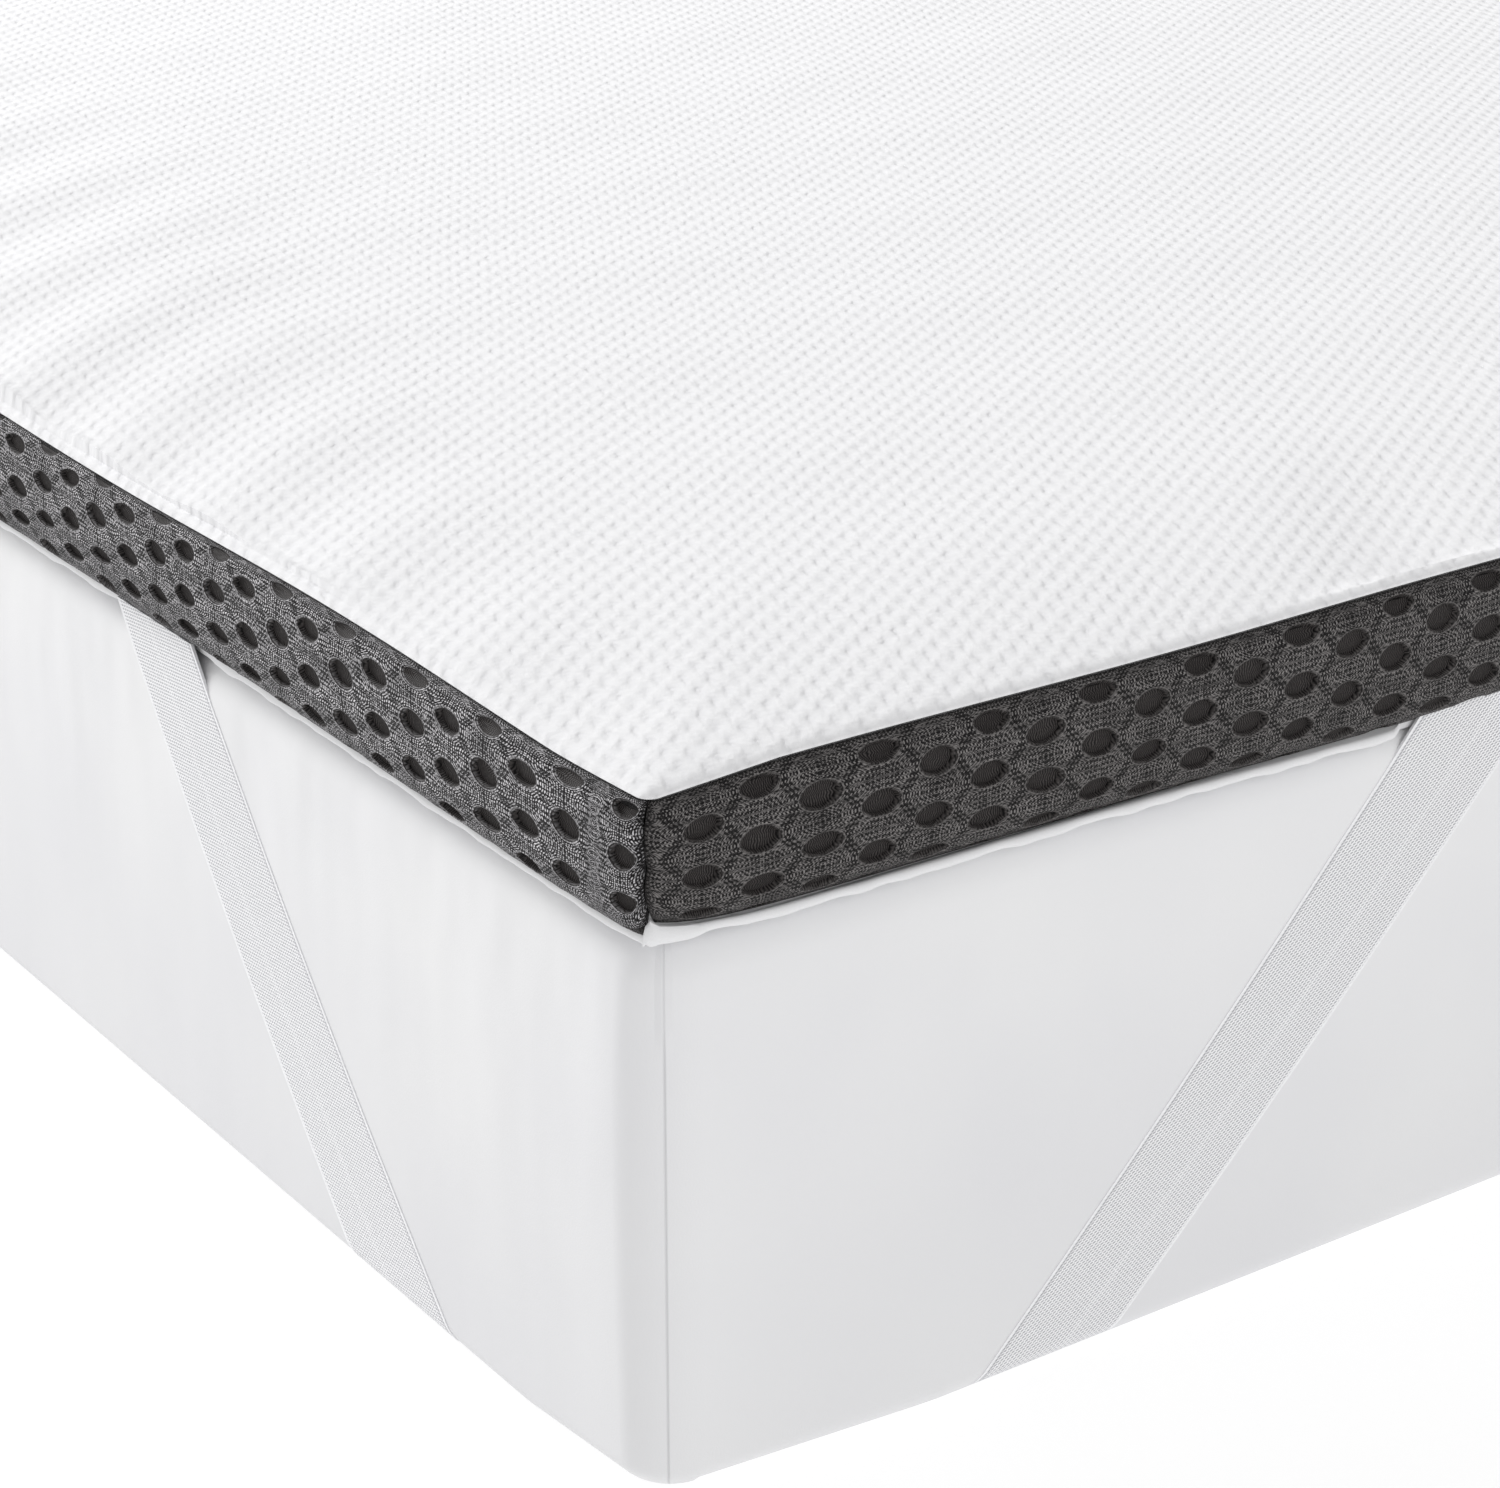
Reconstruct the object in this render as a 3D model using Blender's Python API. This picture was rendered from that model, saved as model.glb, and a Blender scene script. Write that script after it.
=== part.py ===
"""Mattress topper, held by corner straps on a plain mattress. Metres, +Z up.

The origin is on the floor, below the middle of the mattress. X runs across the bed and Y along
it, from foot to head. The topper is a filled pad under a knitted top panel, with four strips of
spacer mesh round its sides, a bottom panel whose edge stands out as a lip, and an elastic strap
at each corner that hooks under the mattress.
"""
from collections import namedtuple
from math import cos, exp, hypot, pi, radians, sin

import bpy
from mathutils import Vector

# Driving dimensions
WIDE = 1.400                # topper at its fullest, side to side
LONG = 1.900                # topper at its fullest, foot to head
CORNER = 0.014              # radius of the topper's upright corners
BORDER_HIGH = 0.0535        # mesh border, bottom seam to top seam
MATTRESS_HIGH = 0.229
MATTRESS_IN = 0.006         # how far the mattress stands in from the topper's edge
MATTRESS_CORNER = 0.028     # radius of the mattress's upright corners
MATTRESS_BULGE = 0.002      # how far its sides swell at half height
PANEL_THICK = 0.0016        # bottom panel
STRAP_THICK = 0.0012
CLEAR = 0.0003              # gap between pieces that touch

PANEL_LOW = MATTRESS_HIGH + CLEAR
PANEL_TOP = PANEL_LOW + PANEL_THICK
SEAM_LOW = PANEL_TOP + CLEAR
HALF = (WIDE / 2, LONG / 2)

# The four sides, anticlockwise from the foot: outward and forward direction, length, columns of
# the mesh, then the top seam's mean rise, swing, crest place and wave length, how far the edge
# sways in and out, and how far out the lip of the bottom panel reaches.
Side = namedtuple("Side", "name out way long columns rise swing crest wave sway lip")
SIDES = (
    Side("foot", (0, -1), (1, 0), WIDE, 28, 0.0020, 0.0004, 0.10, 0.26, 0.0007, -0.0030),
    Side("right", (1, 0), (0, 1), LONG, 38, 0.0004, 0.0016, 0.31, 0.41, 0.0010, -0.0030),
    Side("head", (0, 1), (-1, 0), WIDE, 28, 0.0008, 0.0013, 0.22, 0.37, 0.0008, -0.0022),
    Side("left", (-1, 0), (0, -1), LONG, 38, -0.0010, 0.0019, 1.67, 0.36, 0.0010, -0.0060),
)
SWAY_WAVE = 0.57


def spot(side, along, out, radius=CORNER):
    """Plan point `along` a side from its first corner and `out` from the nominal outline."""
    past = min(along - radius, 0.0) + max(along - (side.long - radius), 0.0)
    turn = past / radius
    depth = HALF[0] if side.out[0] else HALF[1]
    run = along - past - side.long / 2
    reach = radius + out
    point = []
    for outward, forward in zip(side.out, side.way):
        centre = outward * (depth - radius) + forward * run
        point.append(centre + reach * (outward * cos(turn) + forward * sin(turn)))
    return tuple(point)


def on_columns(side, along, wave):
    """A wave's value, straight between the mesh's columns so that all pieces match, 0 at corners."""
    pitch = (side.long - 2 * CORNER) / side.columns
    column = (along - CORNER) / pitch
    if not 0.0 < column < side.columns:
        return 0.0
    low = int(column)
    ends = [wave(CORNER + k * pitch) if 0 < k < side.columns else 0.0 for k in (low, low + 1)]
    return ends[0] + (ends[1] - ends[0]) * (column - low)


def border_high(side, along):
    """Height of the border, which the top seam's wave changes."""
    def wave(place):
        return side.rise + side.swing * cos(2 * pi * (place - side.crest) / side.wave)
    return BORDER_HIGH + on_columns(side, along, wave)


def sway(side, along):
    """How far the topper's edge stands out of its nominal outline."""
    def wave(place):
        return side.sway * sin(2 * pi * (place - side.crest) / SWAY_WAVE)
    return on_columns(side, along, wave)


def edge_point(side, along, out, up, lift=0.0):
    """Point of the topper's edge, `up` as a share of the border's height, `lift` above that."""
    x, y = spot(side, along, out + sway(side, along))
    return (x, y, SEAM_LOW + up * border_high(side, along) + lift)


def material(name, colour, roughness):
    """Matte cloth of one colour."""
    made = bpy.data.materials.new(name)
    made.use_nodes = True
    shader = made.node_tree.nodes["Principled BSDF"]
    shader.inputs["Base Color"].default_value = (*colour, 1.0)
    shader.inputs["Roughness"].default_value = roughness
    shader.inputs["Metallic"].default_value = 0.0
    return made


def solid(name, points, faces, cloth, sharp=40):
    """A closed solid from its points and faces, shaded smooth except at sharp edges."""
    mesh = bpy.data.meshes.new(name)
    mesh.from_pydata(points, [], faces)
    mesh.shade_smooth()
    mesh.set_sharp_from_angle(angle=radians(sharp))
    mesh.materials.append(cloth)
    made = bpy.data.objects.new(name, mesh)
    bpy.context.collection.objects.link(made)
    return made


def steps(first, last, count):
    """`count` equal steps from first to last, both included."""
    return [first + (last - first) * i / count for i in range(count + 1)]


def bands(rings):
    """Quads between rings of equal length, whose points follow each other in one list."""
    count = len(rings[0])
    faces = []
    for level in range(len(rings) - 1):
        low = level * count
        for i in range(count):
            j = (i + 1) % count
            faces.append((low + i, low + j, low + count + j, low + count + i))
    return faces


# --- the mesh border ------------------------------------------------------------------------

# The strip's outline in section, top seam first: how far out, and share of its height
BORDER_OUTSIDE = ((-0.0048, 1.0), (-0.0012, 0.915), (0.0, 0.64), (-0.0002, 0.365),
                  (-0.0030, 0.095), (-0.0098, 0.0))
BORDER_INSIDE = ((-0.0080, 0.99), (-0.0043, 0.90), (-0.0031, 0.50), (-0.0058, 0.13),
                 (-0.0124, 0.03))
HOLE_WIDE = 0.020           # recesses of the spacer mesh: along the strip,
HOLE_HIGH = 0.0112          # up it,
HOLE_DEEP = 0.0018          # and in to its closed back
HOLE_FLOOR = 0.86           # size of a recess's floor against its mouth
HOLE_BANDS = (1, 2, 3)      # bands of the outside that hold a row of recesses
SEAM_PINCH = 0.0016         # how far the upright corner seam is drawn in
SEAM_HALF = 0.0002          # half the gap between two strips at a corner


def strip_places(side):
    """Places along a strip, from one corner's middle to the next one's."""
    arc = CORNER * pi / 4
    first, last = CORNER, side.long - CORNER
    ends = [last + arc / 2, last + arc]
    return [first - arc, first - arc / 2] + steps(first, last, side.columns) + ends


def strip_point(side, places, i, line):
    """Point of a strip; its ends are pinched in outside and stand clear of the next strip."""
    at_end = i in (0, len(places) - 1)
    out, up = line
    if at_end and line in BORDER_OUTSIDE:
        out -= SEAM_PINCH
    x, y, z = edge_point(side, places[i], out, up)
    if at_end:
        lean = 1 if i == 0 else -1
        x += SEAM_HALF * lean * (side.way[0] + lean * side.out[0]) / 2 ** 0.5
        y += SEAM_HALF * lean * (side.way[1] + lean * side.out[1]) / 2 ** 0.5
    return (x, y, z)


def recess(points, faces, corners, side):
    """A six-sided recess inside the quad of four corners: top left, top right, low right, low left."""
    a, b, c, d = (Vector(points[i]) for i in corners)
    wide = (b - a).length
    high = (a - d).length
    centre = (a + b + c + d) / 4
    across = (b - a + c - d) / 2
    upward = (a - d + b - c) / 2
    inward = Vector((-side.out[0], -side.out[1], 0.0)) * HOLE_DEEP
    mouth = len(points)
    for size, depth in ((1.0, 0.0), (HOLE_FLOOR, 1.0)):
        for k in range(6):
            turn = k * pi / 3
            u = 0.5 * size * HOLE_WIDE / wide * cos(turn)
            v = 0.5 * size * HOLE_HIGH / high * sin(turn)
            points.append(tuple(centre + across * u + upward * v + inward * depth))
    h = [mouth + k for k in range(6)]
    tl, tr, lr, ll = corners
    faces.extend([(tl, h[2], h[1], tr), (tl, h[3], h[2]), (tl, ll, h[3]), (ll, h[4], h[3]),
                  (ll, lr, h[5], h[4]), (lr, h[0], h[5]), (lr, tr, h[0]), (tr, h[1], h[0])])
    for k in range(6):
        n = (k + 1) % 6
        faces.append((h[k], h[n], h[n] + 6, h[k] + 6))
    faces.append(tuple(i + 6 for i in h))


def border_strip(side, cloth):
    """One side's strip of spacer mesh, 3 mm thick, with a brick pattern of recesses."""
    places = strip_places(side)
    outline = BORDER_OUTSIDE + BORDER_INSIDE[::-1]
    lines = len(outline)
    points = []
    for i in range(len(places)):
        points.extend(strip_point(side, places, i, line) for line in outline)
    faces = [tuple(range(lines))[::-1]]
    for i in range(len(places) - 1):
        straight = 2 <= i < len(places) - 3
        for line in range(lines):
            after = (line + 1) % lines
            tl, ll = i * lines + line, i * lines + after
            tr, lr = tl + lines, ll + lines
            holed = straight and line in HOLE_BANDS and (i + line) % 2 == 0
            if holed:
                recess(points, faces, (tl, tr, lr, ll), side)
            else:
                faces.append((tl, ll, lr, tr))
    last = (len(places) - 1) * lines
    faces.append(tuple(range(last, last + lines)))
    return solid("border_strip_" + side.name, points, faces, cloth)


# --- the filled pad under its top panel -----------------------------------------------------

# Rings of the pad from its underside up over the top seam: how far out, share of the border's
# height, and lift above that
PAD_RINGS = ((-0.0131, 0.0, 0.0), (-0.0038, 0.5, 0.0), (-0.0087, 1.0, 0.0006),
             (-0.0050, 1.0, 0.0006), (-0.0024, 1.0, 0.0026), (-0.0034, 1.0, 0.0055),
             (-0.0085, 1.0, 0.0080))
RIM_LIFT = 0.0095           # the top at the inner end of its rolled edge, over the seam
CROWN = 0.0050              # further rise towards the middle
CROWN_REACH = 0.080         # distance over which most of that rise comes
RIPPLED = (2, 24)           # columns of the long sides that the pad's top halves, for its ripples
ARC_STEPS = 4               # steps round each upright corner

# Soft ridges (and one trough) pulled up by the seams: both ends as distances from the left and
# the foot edge, half width, and height
Ripple = namedtuple("Ripple", "x0 y0 x1 y1 half high")
RIPPLES = (
    Ripple(0.015, 0.130, 0.100, 0.190, 0.030, 0.0014),
    Ripple(0.015, 0.235, 0.120, 0.310, 0.030, 0.0018),
    Ripple(0.015, 0.330, 0.150, 0.430, 0.032, 0.0022),
    Ripple(0.015, 0.425, 0.170, 0.540, 0.034, 0.0032),
    Ripple(0.015, 0.520, 0.210, 0.655, 0.036, 0.0042),
    Ripple(0.015, 0.620, 0.280, 0.765, 0.038, 0.0036),
    Ripple(0.015, 0.725, 0.320, 0.880, 0.040, 0.0034),
    Ripple(0.015, 0.840, 0.340, 1.000, 0.040, 0.0030),
    Ripple(0.015, 0.965, 0.330, 1.110, 0.042, 0.0028),
    Ripple(0.015, 1.130, 0.260, 1.260, 0.040, 0.0022),
    Ripple(0.015, 1.340, 0.220, 1.430, 0.040, 0.0020),
    Ripple(0.360, 0.015, 0.440, 0.130, 0.034, -0.0024),
    Ripple(0.760, 0.015, 0.700, 0.150, 0.045, 0.0020),
    Ripple(1.385, 0.500, 1.240, 0.590, 0.045, 0.0022),
    Ripple(1.385, 0.930, 1.200, 1.040, 0.050, 0.0024),
    Ripple(1.385, 1.380, 1.250, 1.450, 0.045, 0.0020),
    Ripple(0.480, 1.885, 0.560, 1.720, 0.050, 0.0022),
    Ripple(0.980, 1.885, 1.040, 1.740, 0.050, 0.0020),
)


def ripple_high(x, y):
    """Height that the ripples add at a plan point."""
    total = 0.0
    for r in RIPPLES:
        ahead = (r.x1 - r.x0, r.y1 - r.y0)
        length = hypot(*ahead)
        dx, dy = x + HALF[0] - r.x0, y + HALF[1] - r.y0
        share = (dx * ahead[0] + dy * ahead[1]) / length ** 2
        aside = (dx * ahead[1] - dy * ahead[0]) / length
        beyond = (share - max(0.0, min(1.0, share))) * length
        start_and_end = 1.0 - max(0.0, min(1.0, share)) ** 2
        total += r.high * start_and_end * exp(-(aside ** 2 + beyond ** 2) / r.half ** 2)
    return total


def pad_top(x, y):
    """Height of the pad's top over the low seam, away from its rolled edge."""
    seams = []
    for side in SIDES:
        inset = (HALF[0] if side.out[0] else HALF[1]) - x * side.out[0] - y * side.out[1]
        along = side.long / 2 + x * side.way[0] + y * side.way[1]
        seams.append((inset, border_high(side, along) - BORDER_HIGH))
    inset = min(seams)[0] - CORNER
    waves = sum(rise * exp(-(gap - CORNER) / CROWN_REACH) for gap, rise in seams)
    crown = CROWN * (1.0 - exp(-inset / CROWN_REACH))
    return SEAM_LOW + BORDER_HIGH + RIM_LIFT + waves + crown + ripple_high(x, y)


def filled_pad(cloth):
    """Foam filling and top panel as one solid, crowned, with its edge rolled over the seam."""
    across = steps(CORNER, WIDE - CORNER, SIDES[0].columns)
    whole = steps(CORNER, LONG - CORNER, SIDES[1].columns)
    halves = [(whole[k] + whole[k + 1]) / 2 for k in range(*RIPPLED)]
    lengthwise = sorted(whole + halves)
    runs = (across, lengthwise, across, [LONG - y for y in lengthwise[::-1]])
    arc = [CORNER * pi / 2 * k / ARC_STEPS for k in range(1, ARC_STEPS)]
    places = []
    for side, run in zip(SIDES, runs):
        turns = [side.long - CORNER + past for past in arc]
        places.extend((side, along) for along in run + turns)
    rings = [[edge_point(side, along, out, up, lift) for side, along in places]
             for out, up, lift in PAD_RINGS]
    points = [point for ring in rings for point in ring]
    faces = bands(rings)
    faces.append(tuple(range(len(places)))[::-1])

    columns, rows = len(across), len(lengthwise)
    grid = len(points)
    for along_y in lengthwise:
        for along_x in across:
            x, y = along_x - HALF[0], along_y - HALF[1]
            points.append((x, y, pad_top(x, y)))
    for j in range(rows - 1):
        for i in range(columns - 1):
            at = grid + j * columns + i
            faces.append((at, at + 1, at + columns + 1, at + columns))

    foot = [(i, 0) for i in range(columns)]
    right = [(columns - 1, j) for j in range(rows)]
    head = [(i, rows - 1) for i in reversed(range(columns))]
    left = [(0, j) for j in reversed(range(rows))]
    inner = []
    for run in (foot, right, head, left):
        inner.extend(run + [run[-1]] * len(arc))
    ring = grid - len(places)
    for k in range(len(places)):
        n = (k + 1) % len(places)
        near, far = (grid + j * columns + i for i, j in (inner[k], inner[n]))
        if near == far:
            faces.append((ring + k, ring + n, far))
        else:
            faces.append((ring + k, ring + n, far, near))
    return solid("filled_pad_with_top_panel", points, faces, cloth, sharp=60)


# --- corner straps --------------------------------------------------------------------------

STRAP_OFF = 0.0004          # how far a strap lies off the mattress's side
STRAP_HEIGHTS = (0.171, 0.114, 0.057)
STRAP_SEWN = 0.0020         # how far the sewn end reaches above the low seam,
STRAP_END_OUT = -0.0062     # and its place below the curled mesh
EDGE_LOW = 0.010            # rounding of the mattress's bottom edge
EDGE_TURNS = (0, 30, 60, 90)
# Distance of the strap's inner face from the centre of that rounding, turn by turn: it comes
# down off the side and sinks into the underside
EDGE_REACH = (0.0104, 0.0104, 0.0094, 0.0085)
CUT_SPARE = 0.0008          # room beside a strap in its groove
CUT_DEEP = 0.006            # how far a groove's cutter reaches below the mattress

# One strap a corner, between the side that ends there and the side that starts there. Each leg's
# middle line is this far from the corner at the mattress's top and at the floor, and the elastic
# is this wide there: the more it is stretched, the narrower.
Leg = namedtuple("Leg", "side top low wide_top wide_low")
Strap = namedtuple("Strap", "name before after")
STRAPS = (
    Strap("foot_left", Leg(3, 0.372, 0.1835, 0.052, 0.062), Leg(0, 0.402, 0.183, 0.054, 0.049)),
    Strap("foot_right", Leg(0, 0.385, 0.182, 0.052, 0.050), Leg(1, 0.372, 0.184, 0.052, 0.055)),
    Strap("head_right", Leg(1, 0.379, 0.186, 0.051, 0.056), Leg(2, 0.392, 0.181, 0.053, 0.050)),
    Strap("head_left", Leg(2, 0.376, 0.183, 0.052, 0.051), Leg(3, 0.388, 0.184, 0.050, 0.053)),
)


def mattress_out(z):
    """Place of the mattress's side at a height, measured from the topper's outline."""
    return -MATTRESS_IN + MATTRESS_BULGE * sin(pi * z / MATTRESS_HIGH)


def slope(leg):
    """Sideways run of a strap's leg for each metre of drop."""
    return (leg.top - leg.low) / MATTRESS_HIGH


def half_wide(leg, z, extra=0.0):
    """Half the leg's width at a height, measured level."""
    wide = leg.wide_low + (leg.wide_top - leg.wide_low) * z / MATTRESS_HIGH
    return (wide / 2 + extra) * hypot(1.0, slope(leg))


def level_line(leg, ends_here, middle, half, inner, outer):
    """Four points across a strap: inner face near and far from the corner, outer face far, near."""
    side = SIDES[leg.side]
    line = []
    for (out, z), shift in ((inner, -half), (inner, half), (outer, half), (outer, -half)):
        along = side.long - (middle + shift) if ends_here else middle + shift
        line.append((*spot(side, along, out), z))
    return line


def turn_line(leg, ends_here, k, extra, under, over):
    """Line k round the bottom edge, for a band that runs `under` inside to `over` outside."""
    turn = radians(EDGE_TURNS[k])
    middle = leg.low + slope(leg) * EDGE_LOW * (1.0 - turn)
    centre = mattress_out(EDGE_LOW) - EDGE_LOW
    faces = []
    for reach in (EDGE_REACH[k] - under, EDGE_REACH[k] + over):
        faces.append((centre + reach * cos(turn), EDGE_LOW - reach * sin(turn)))
    return level_line(leg, ends_here, middle, half_wide(leg, 0.0, extra), *faces)


def strap_leg(leg, ends_here):
    """Lines of a strap from its sewn end to the underside of the mattress."""
    places = [(STRAP_END_OUT, SEAM_LOW + STRAP_SEWN)]
    places.extend((mattress_out(z) + STRAP_OFF, z) for z in STRAP_HEIGHTS)
    lines = []
    for out, z in places:
        middle = leg.low + slope(leg) * z
        faces = ((out, z), (out + STRAP_THICK, z))
        lines.append(level_line(leg, ends_here, middle, half_wide(leg, z), *faces))
    for k in range(len(EDGE_TURNS)):
        lines.append(turn_line(leg, ends_here, k, 0.0, 0.0, STRAP_THICK))
    return lines


def groove_leg(leg, ends_here):
    """Lines of a groove's cutter, from where the strap sinks in to the underside."""
    return [turn_line(leg, ends_here, k, CUT_SPARE, CLEAR, CUT_DEEP)
            for k in range(1, len(EDGE_TURNS))]


def band(name, strap, leg_lines, cloth):
    """A flat band down one side of a corner, under the mattress and up the other side."""
    lines = leg_lines(strap.after, False) + leg_lines(strap.before, True)[::-1]
    points = [point for line in lines for point in line]
    faces = [(3, 2, 1, 0)]
    for i in range(len(lines) - 1):
        for k in range(4):
            a, b = 4 * i + k, 4 * i + (k + 1) % 4
            faces.append((a, b, b + 4, a + 4))
    last = 4 * (len(lines) - 1)
    faces.append((last, last + 1, last + 2, last + 3))
    return solid(name, points, faces, cloth, sharp=50)


# --- bottom panel ---------------------------------------------------------------------------

LIP_START = -0.0105         # the flat of the panel ends here, below the seam
LIP_DROP = 0.0022           # how far the lip hangs below the flat
LIP_CORNER = -0.0012        # reach of the lip round a corner
LIP_PINNED = -0.0085        # reach where a strap holds it back
LIP_STEP = 0.040
PINNED_SPARE = 0.007        # the lip is held back this far beside a strap
PUCKER = 0.0011             # how far the lip's puckers stand in and out


def strap_places(side):
    """Middles of the straps' sewn ends along a side, with half their level width."""
    places = []
    for strap in STRAPS:
        for leg, ends_here in ((strap.before, True), (strap.after, False)):
            if SIDES[leg.side] is side:
                middle = leg.low + slope(leg) * PANEL_TOP
                along = side.long - middle if ends_here else middle
                places.append((along, half_wide(leg, PANEL_TOP)))
    return places


def lip_places(side):
    """Places along a side's lip, closer at each end of the stretches that straps hold back."""
    held = []
    for middle, half in strap_places(side):
        spread = half + PINNED_SPARE
        held.extend((middle - spread - PINNED_SPARE, middle - spread))
        held.extend((middle + spread, middle + spread + PINNED_SPARE))
    count = round((side.long - 2 * CORNER) / LIP_STEP)
    plain = [a for a in steps(CORNER, side.long - CORNER, count)
             if all(abs(a - h) > LIP_STEP / 4 for h in held)]
    turns = [side.long - CORNER + CORNER * pi / 2 * k / ARC_STEPS for k in range(1, ARC_STEPS)]
    return sorted(plain + held) + turns


def lip_reach(side, along):
    """How far out the lip reaches, and how far it droops there."""
    for middle, half in strap_places(side):
        if abs(along - middle) < half + 1.5 * PINNED_SPARE:
            return LIP_PINNED, 0.0
    uneven = sin(along * 134.0) * sin(along * 21.0 + side.crest * 9.0)
    reach = LIP_CORNER + on_columns(side, along, lambda place: side.lip - LIP_CORNER) + PUCKER * uneven
    return reach, LIP_DROP * (1.0 + 0.35 * uneven)


def bottom_panel(cloth):
    """Flat panel under the pad, with a puckered lip that stands out below the mesh."""
    rings = ([], [], [], [])
    for side in SIDES:
        for along in lip_places(side):
            shift = sway(side, along)
            reach, droop = lip_reach(side, along)
            inner = spot(side, along, LIP_START)
            outer = spot(side, along, reach + shift)
            rings[0].append((*inner, PANEL_LOW))
            rings[1].append((*outer, PANEL_LOW - droop))
            rings[2].append((*outer, PANEL_TOP - droop))
            rings[3].append((*inner, PANEL_TOP))
    count = len(rings[0])
    points = [point for ring in rings for point in ring]
    faces = bands(rings)
    faces.append(tuple(range(count))[::-1])
    faces.append(tuple(range(3 * count, 4 * count)))
    return solid("bottom_panel", points, faces, cloth, sharp=50)


# --- mattress -------------------------------------------------------------------------------

EDGE_TOP = 0.016            # rounding of the mattress's top edge
MATTRESS_TURNS = 6          # steps round each upright corner
CORNER_LIFT = 0.009         # how far its bottom edge is lifted at the corners
LIFT_ENDS = 0.135           # that lift fades out this far from the corner, at foot and head,
LIFT_SIDES = 0.095          # and on the long sides
LIFT_HIGH = 0.114           # and this far up
UNDER_IN = 1.2              # the flat underside draws in by this many times the lift


def mattress_section():
    """Outline of the mattress's side, from the underside up to its top: out and height."""
    low = mattress_out(EDGE_LOW) - EDGE_LOW
    section = []
    for turn in reversed(EDGE_TURNS):
        section.append((low + EDGE_LOW * cos(radians(turn)),
                        EDGE_LOW * (1.0 - sin(radians(turn)))))
    section.extend((mattress_out(z), z) for z in reversed(STRAP_HEIGHTS))
    level = MATTRESS_HIGH - EDGE_TOP
    high = mattress_out(level) - EDGE_TOP
    for turn in EDGE_TURNS:
        section.append((high + EDGE_TOP * cos(radians(turn)),
                        level + EDGE_TOP * sin(radians(turn))))
    return section


def corner_lift(side, along):
    """How far the mattress's bottom edge is lifted, which is most at its corners."""
    reach = LIFT_ENDS if side.out[1] else LIFT_SIDES
    away = max(MATTRESS_CORNER, min(along, side.long - along))
    return CORNER_LIFT * max(0.0, 1.0 - away / reach)


def mattress(cloth):
    """Plain mattress: a filled block with swelling sides and rounded edges and corners."""
    places = []
    for side in SIDES:
        last = side.long - MATTRESS_CORNER
        reach = LIFT_ENDS if side.out[1] else LIFT_SIDES
        run = [MATTRESS_CORNER, reach, side.long / 2, side.long - reach, last]
        turns = [last + MATTRESS_CORNER * pi / 2 * k / MATTRESS_TURNS
                 for k in range(1, MATTRESS_TURNS)]
        places.extend((side, along) for along in run + turns)
    points = []
    section = mattress_section()
    for k, (out, z) in enumerate(section):
        for side, along in places:
            lift = corner_lift(side, along)
            if k == 0:
                point = (*spot(side, along, out - UNDER_IN * lift, MATTRESS_CORNER), z)
            else:
                raised = z + lift * max(0.0, 1.0 - z / LIFT_HIGH)
                point = (*spot(side, along, out, MATTRESS_CORNER), raised)
            points.append(point)
    count = len(places)
    faces = bands([points[k * count:(k + 1) * count] for k in range(len(section))])
    faces.append(tuple(range(count))[::-1])
    faces.append(tuple(range(len(points) - count, len(points))))
    return solid("mattress", points, faces, cloth)


def cut(target, cutter):
    """Take a cutter's shape out of a solid."""
    cutter.hide_render = True
    cutter.display_type = "WIRE"
    taken = target.modifiers.new(cutter.name, "BOOLEAN")
    taken.object = cutter
    taken.operation = "DIFFERENCE"
    taken.solver = "EXACT"


for left_over in list(bpy.data.objects):
    bpy.data.objects.remove(left_over, do_unlink=True)

white_knit = material("white_knit", (0.90, 0.90, 0.91), 0.85)
grey_mesh = material("grey_spacer_mesh", (0.070, 0.066, 0.064), 0.60)
white_backing = material("white_backing_cloth", (0.88, 0.88, 0.88), 0.80)
white_elastic = material("white_elastic", (0.80, 0.80, 0.83), 0.70)
white_cover = material("white_mattress_cover", (0.80, 0.80, 0.82), 0.80)

filled_pad(white_knit)
for edge in SIDES:
    border_strip(edge, grey_mesh)
bottom_panel(white_backing)
bed = mattress(white_cover)
for strap in STRAPS:
    band("corner_strap_" + strap.name, strap, strap_leg, white_elastic)
    cut(bed, band("groove_" + strap.name, strap, groove_leg, white_elastic))
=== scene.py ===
"""Mattress topper on a plain mattress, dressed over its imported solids. Metres, +Z up.

X runs across the bed and Y along it, from foot to head, and the floor is at Z = 0. Each section
below makes one piece, or one group of like pieces, with its own sizes, mesh and cloth.
"""
from collections import namedtuple
from math import cos, exp, hypot, pi, radians, sin

import bpy
import numpy as np
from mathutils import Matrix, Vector


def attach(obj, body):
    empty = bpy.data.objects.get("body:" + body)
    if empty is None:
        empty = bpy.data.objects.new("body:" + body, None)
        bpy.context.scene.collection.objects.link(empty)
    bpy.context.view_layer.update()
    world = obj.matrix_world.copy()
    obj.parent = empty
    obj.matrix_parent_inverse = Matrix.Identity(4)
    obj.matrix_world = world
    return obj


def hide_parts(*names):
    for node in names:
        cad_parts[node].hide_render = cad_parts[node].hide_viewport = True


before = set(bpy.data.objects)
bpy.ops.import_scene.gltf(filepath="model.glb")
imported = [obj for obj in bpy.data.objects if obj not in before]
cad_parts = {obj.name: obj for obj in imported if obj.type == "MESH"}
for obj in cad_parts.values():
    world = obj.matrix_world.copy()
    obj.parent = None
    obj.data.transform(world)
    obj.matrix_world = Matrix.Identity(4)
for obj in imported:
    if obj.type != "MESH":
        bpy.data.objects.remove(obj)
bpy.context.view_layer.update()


# --- filled pad with its knitted top ---------------------------------------------------------
# A foam slab under one panel of thick white knit. The panel is sewn down all round, so its edge
# rolls over the seam, and the pull of the stitches raises soft ridges from the long sides.

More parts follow.
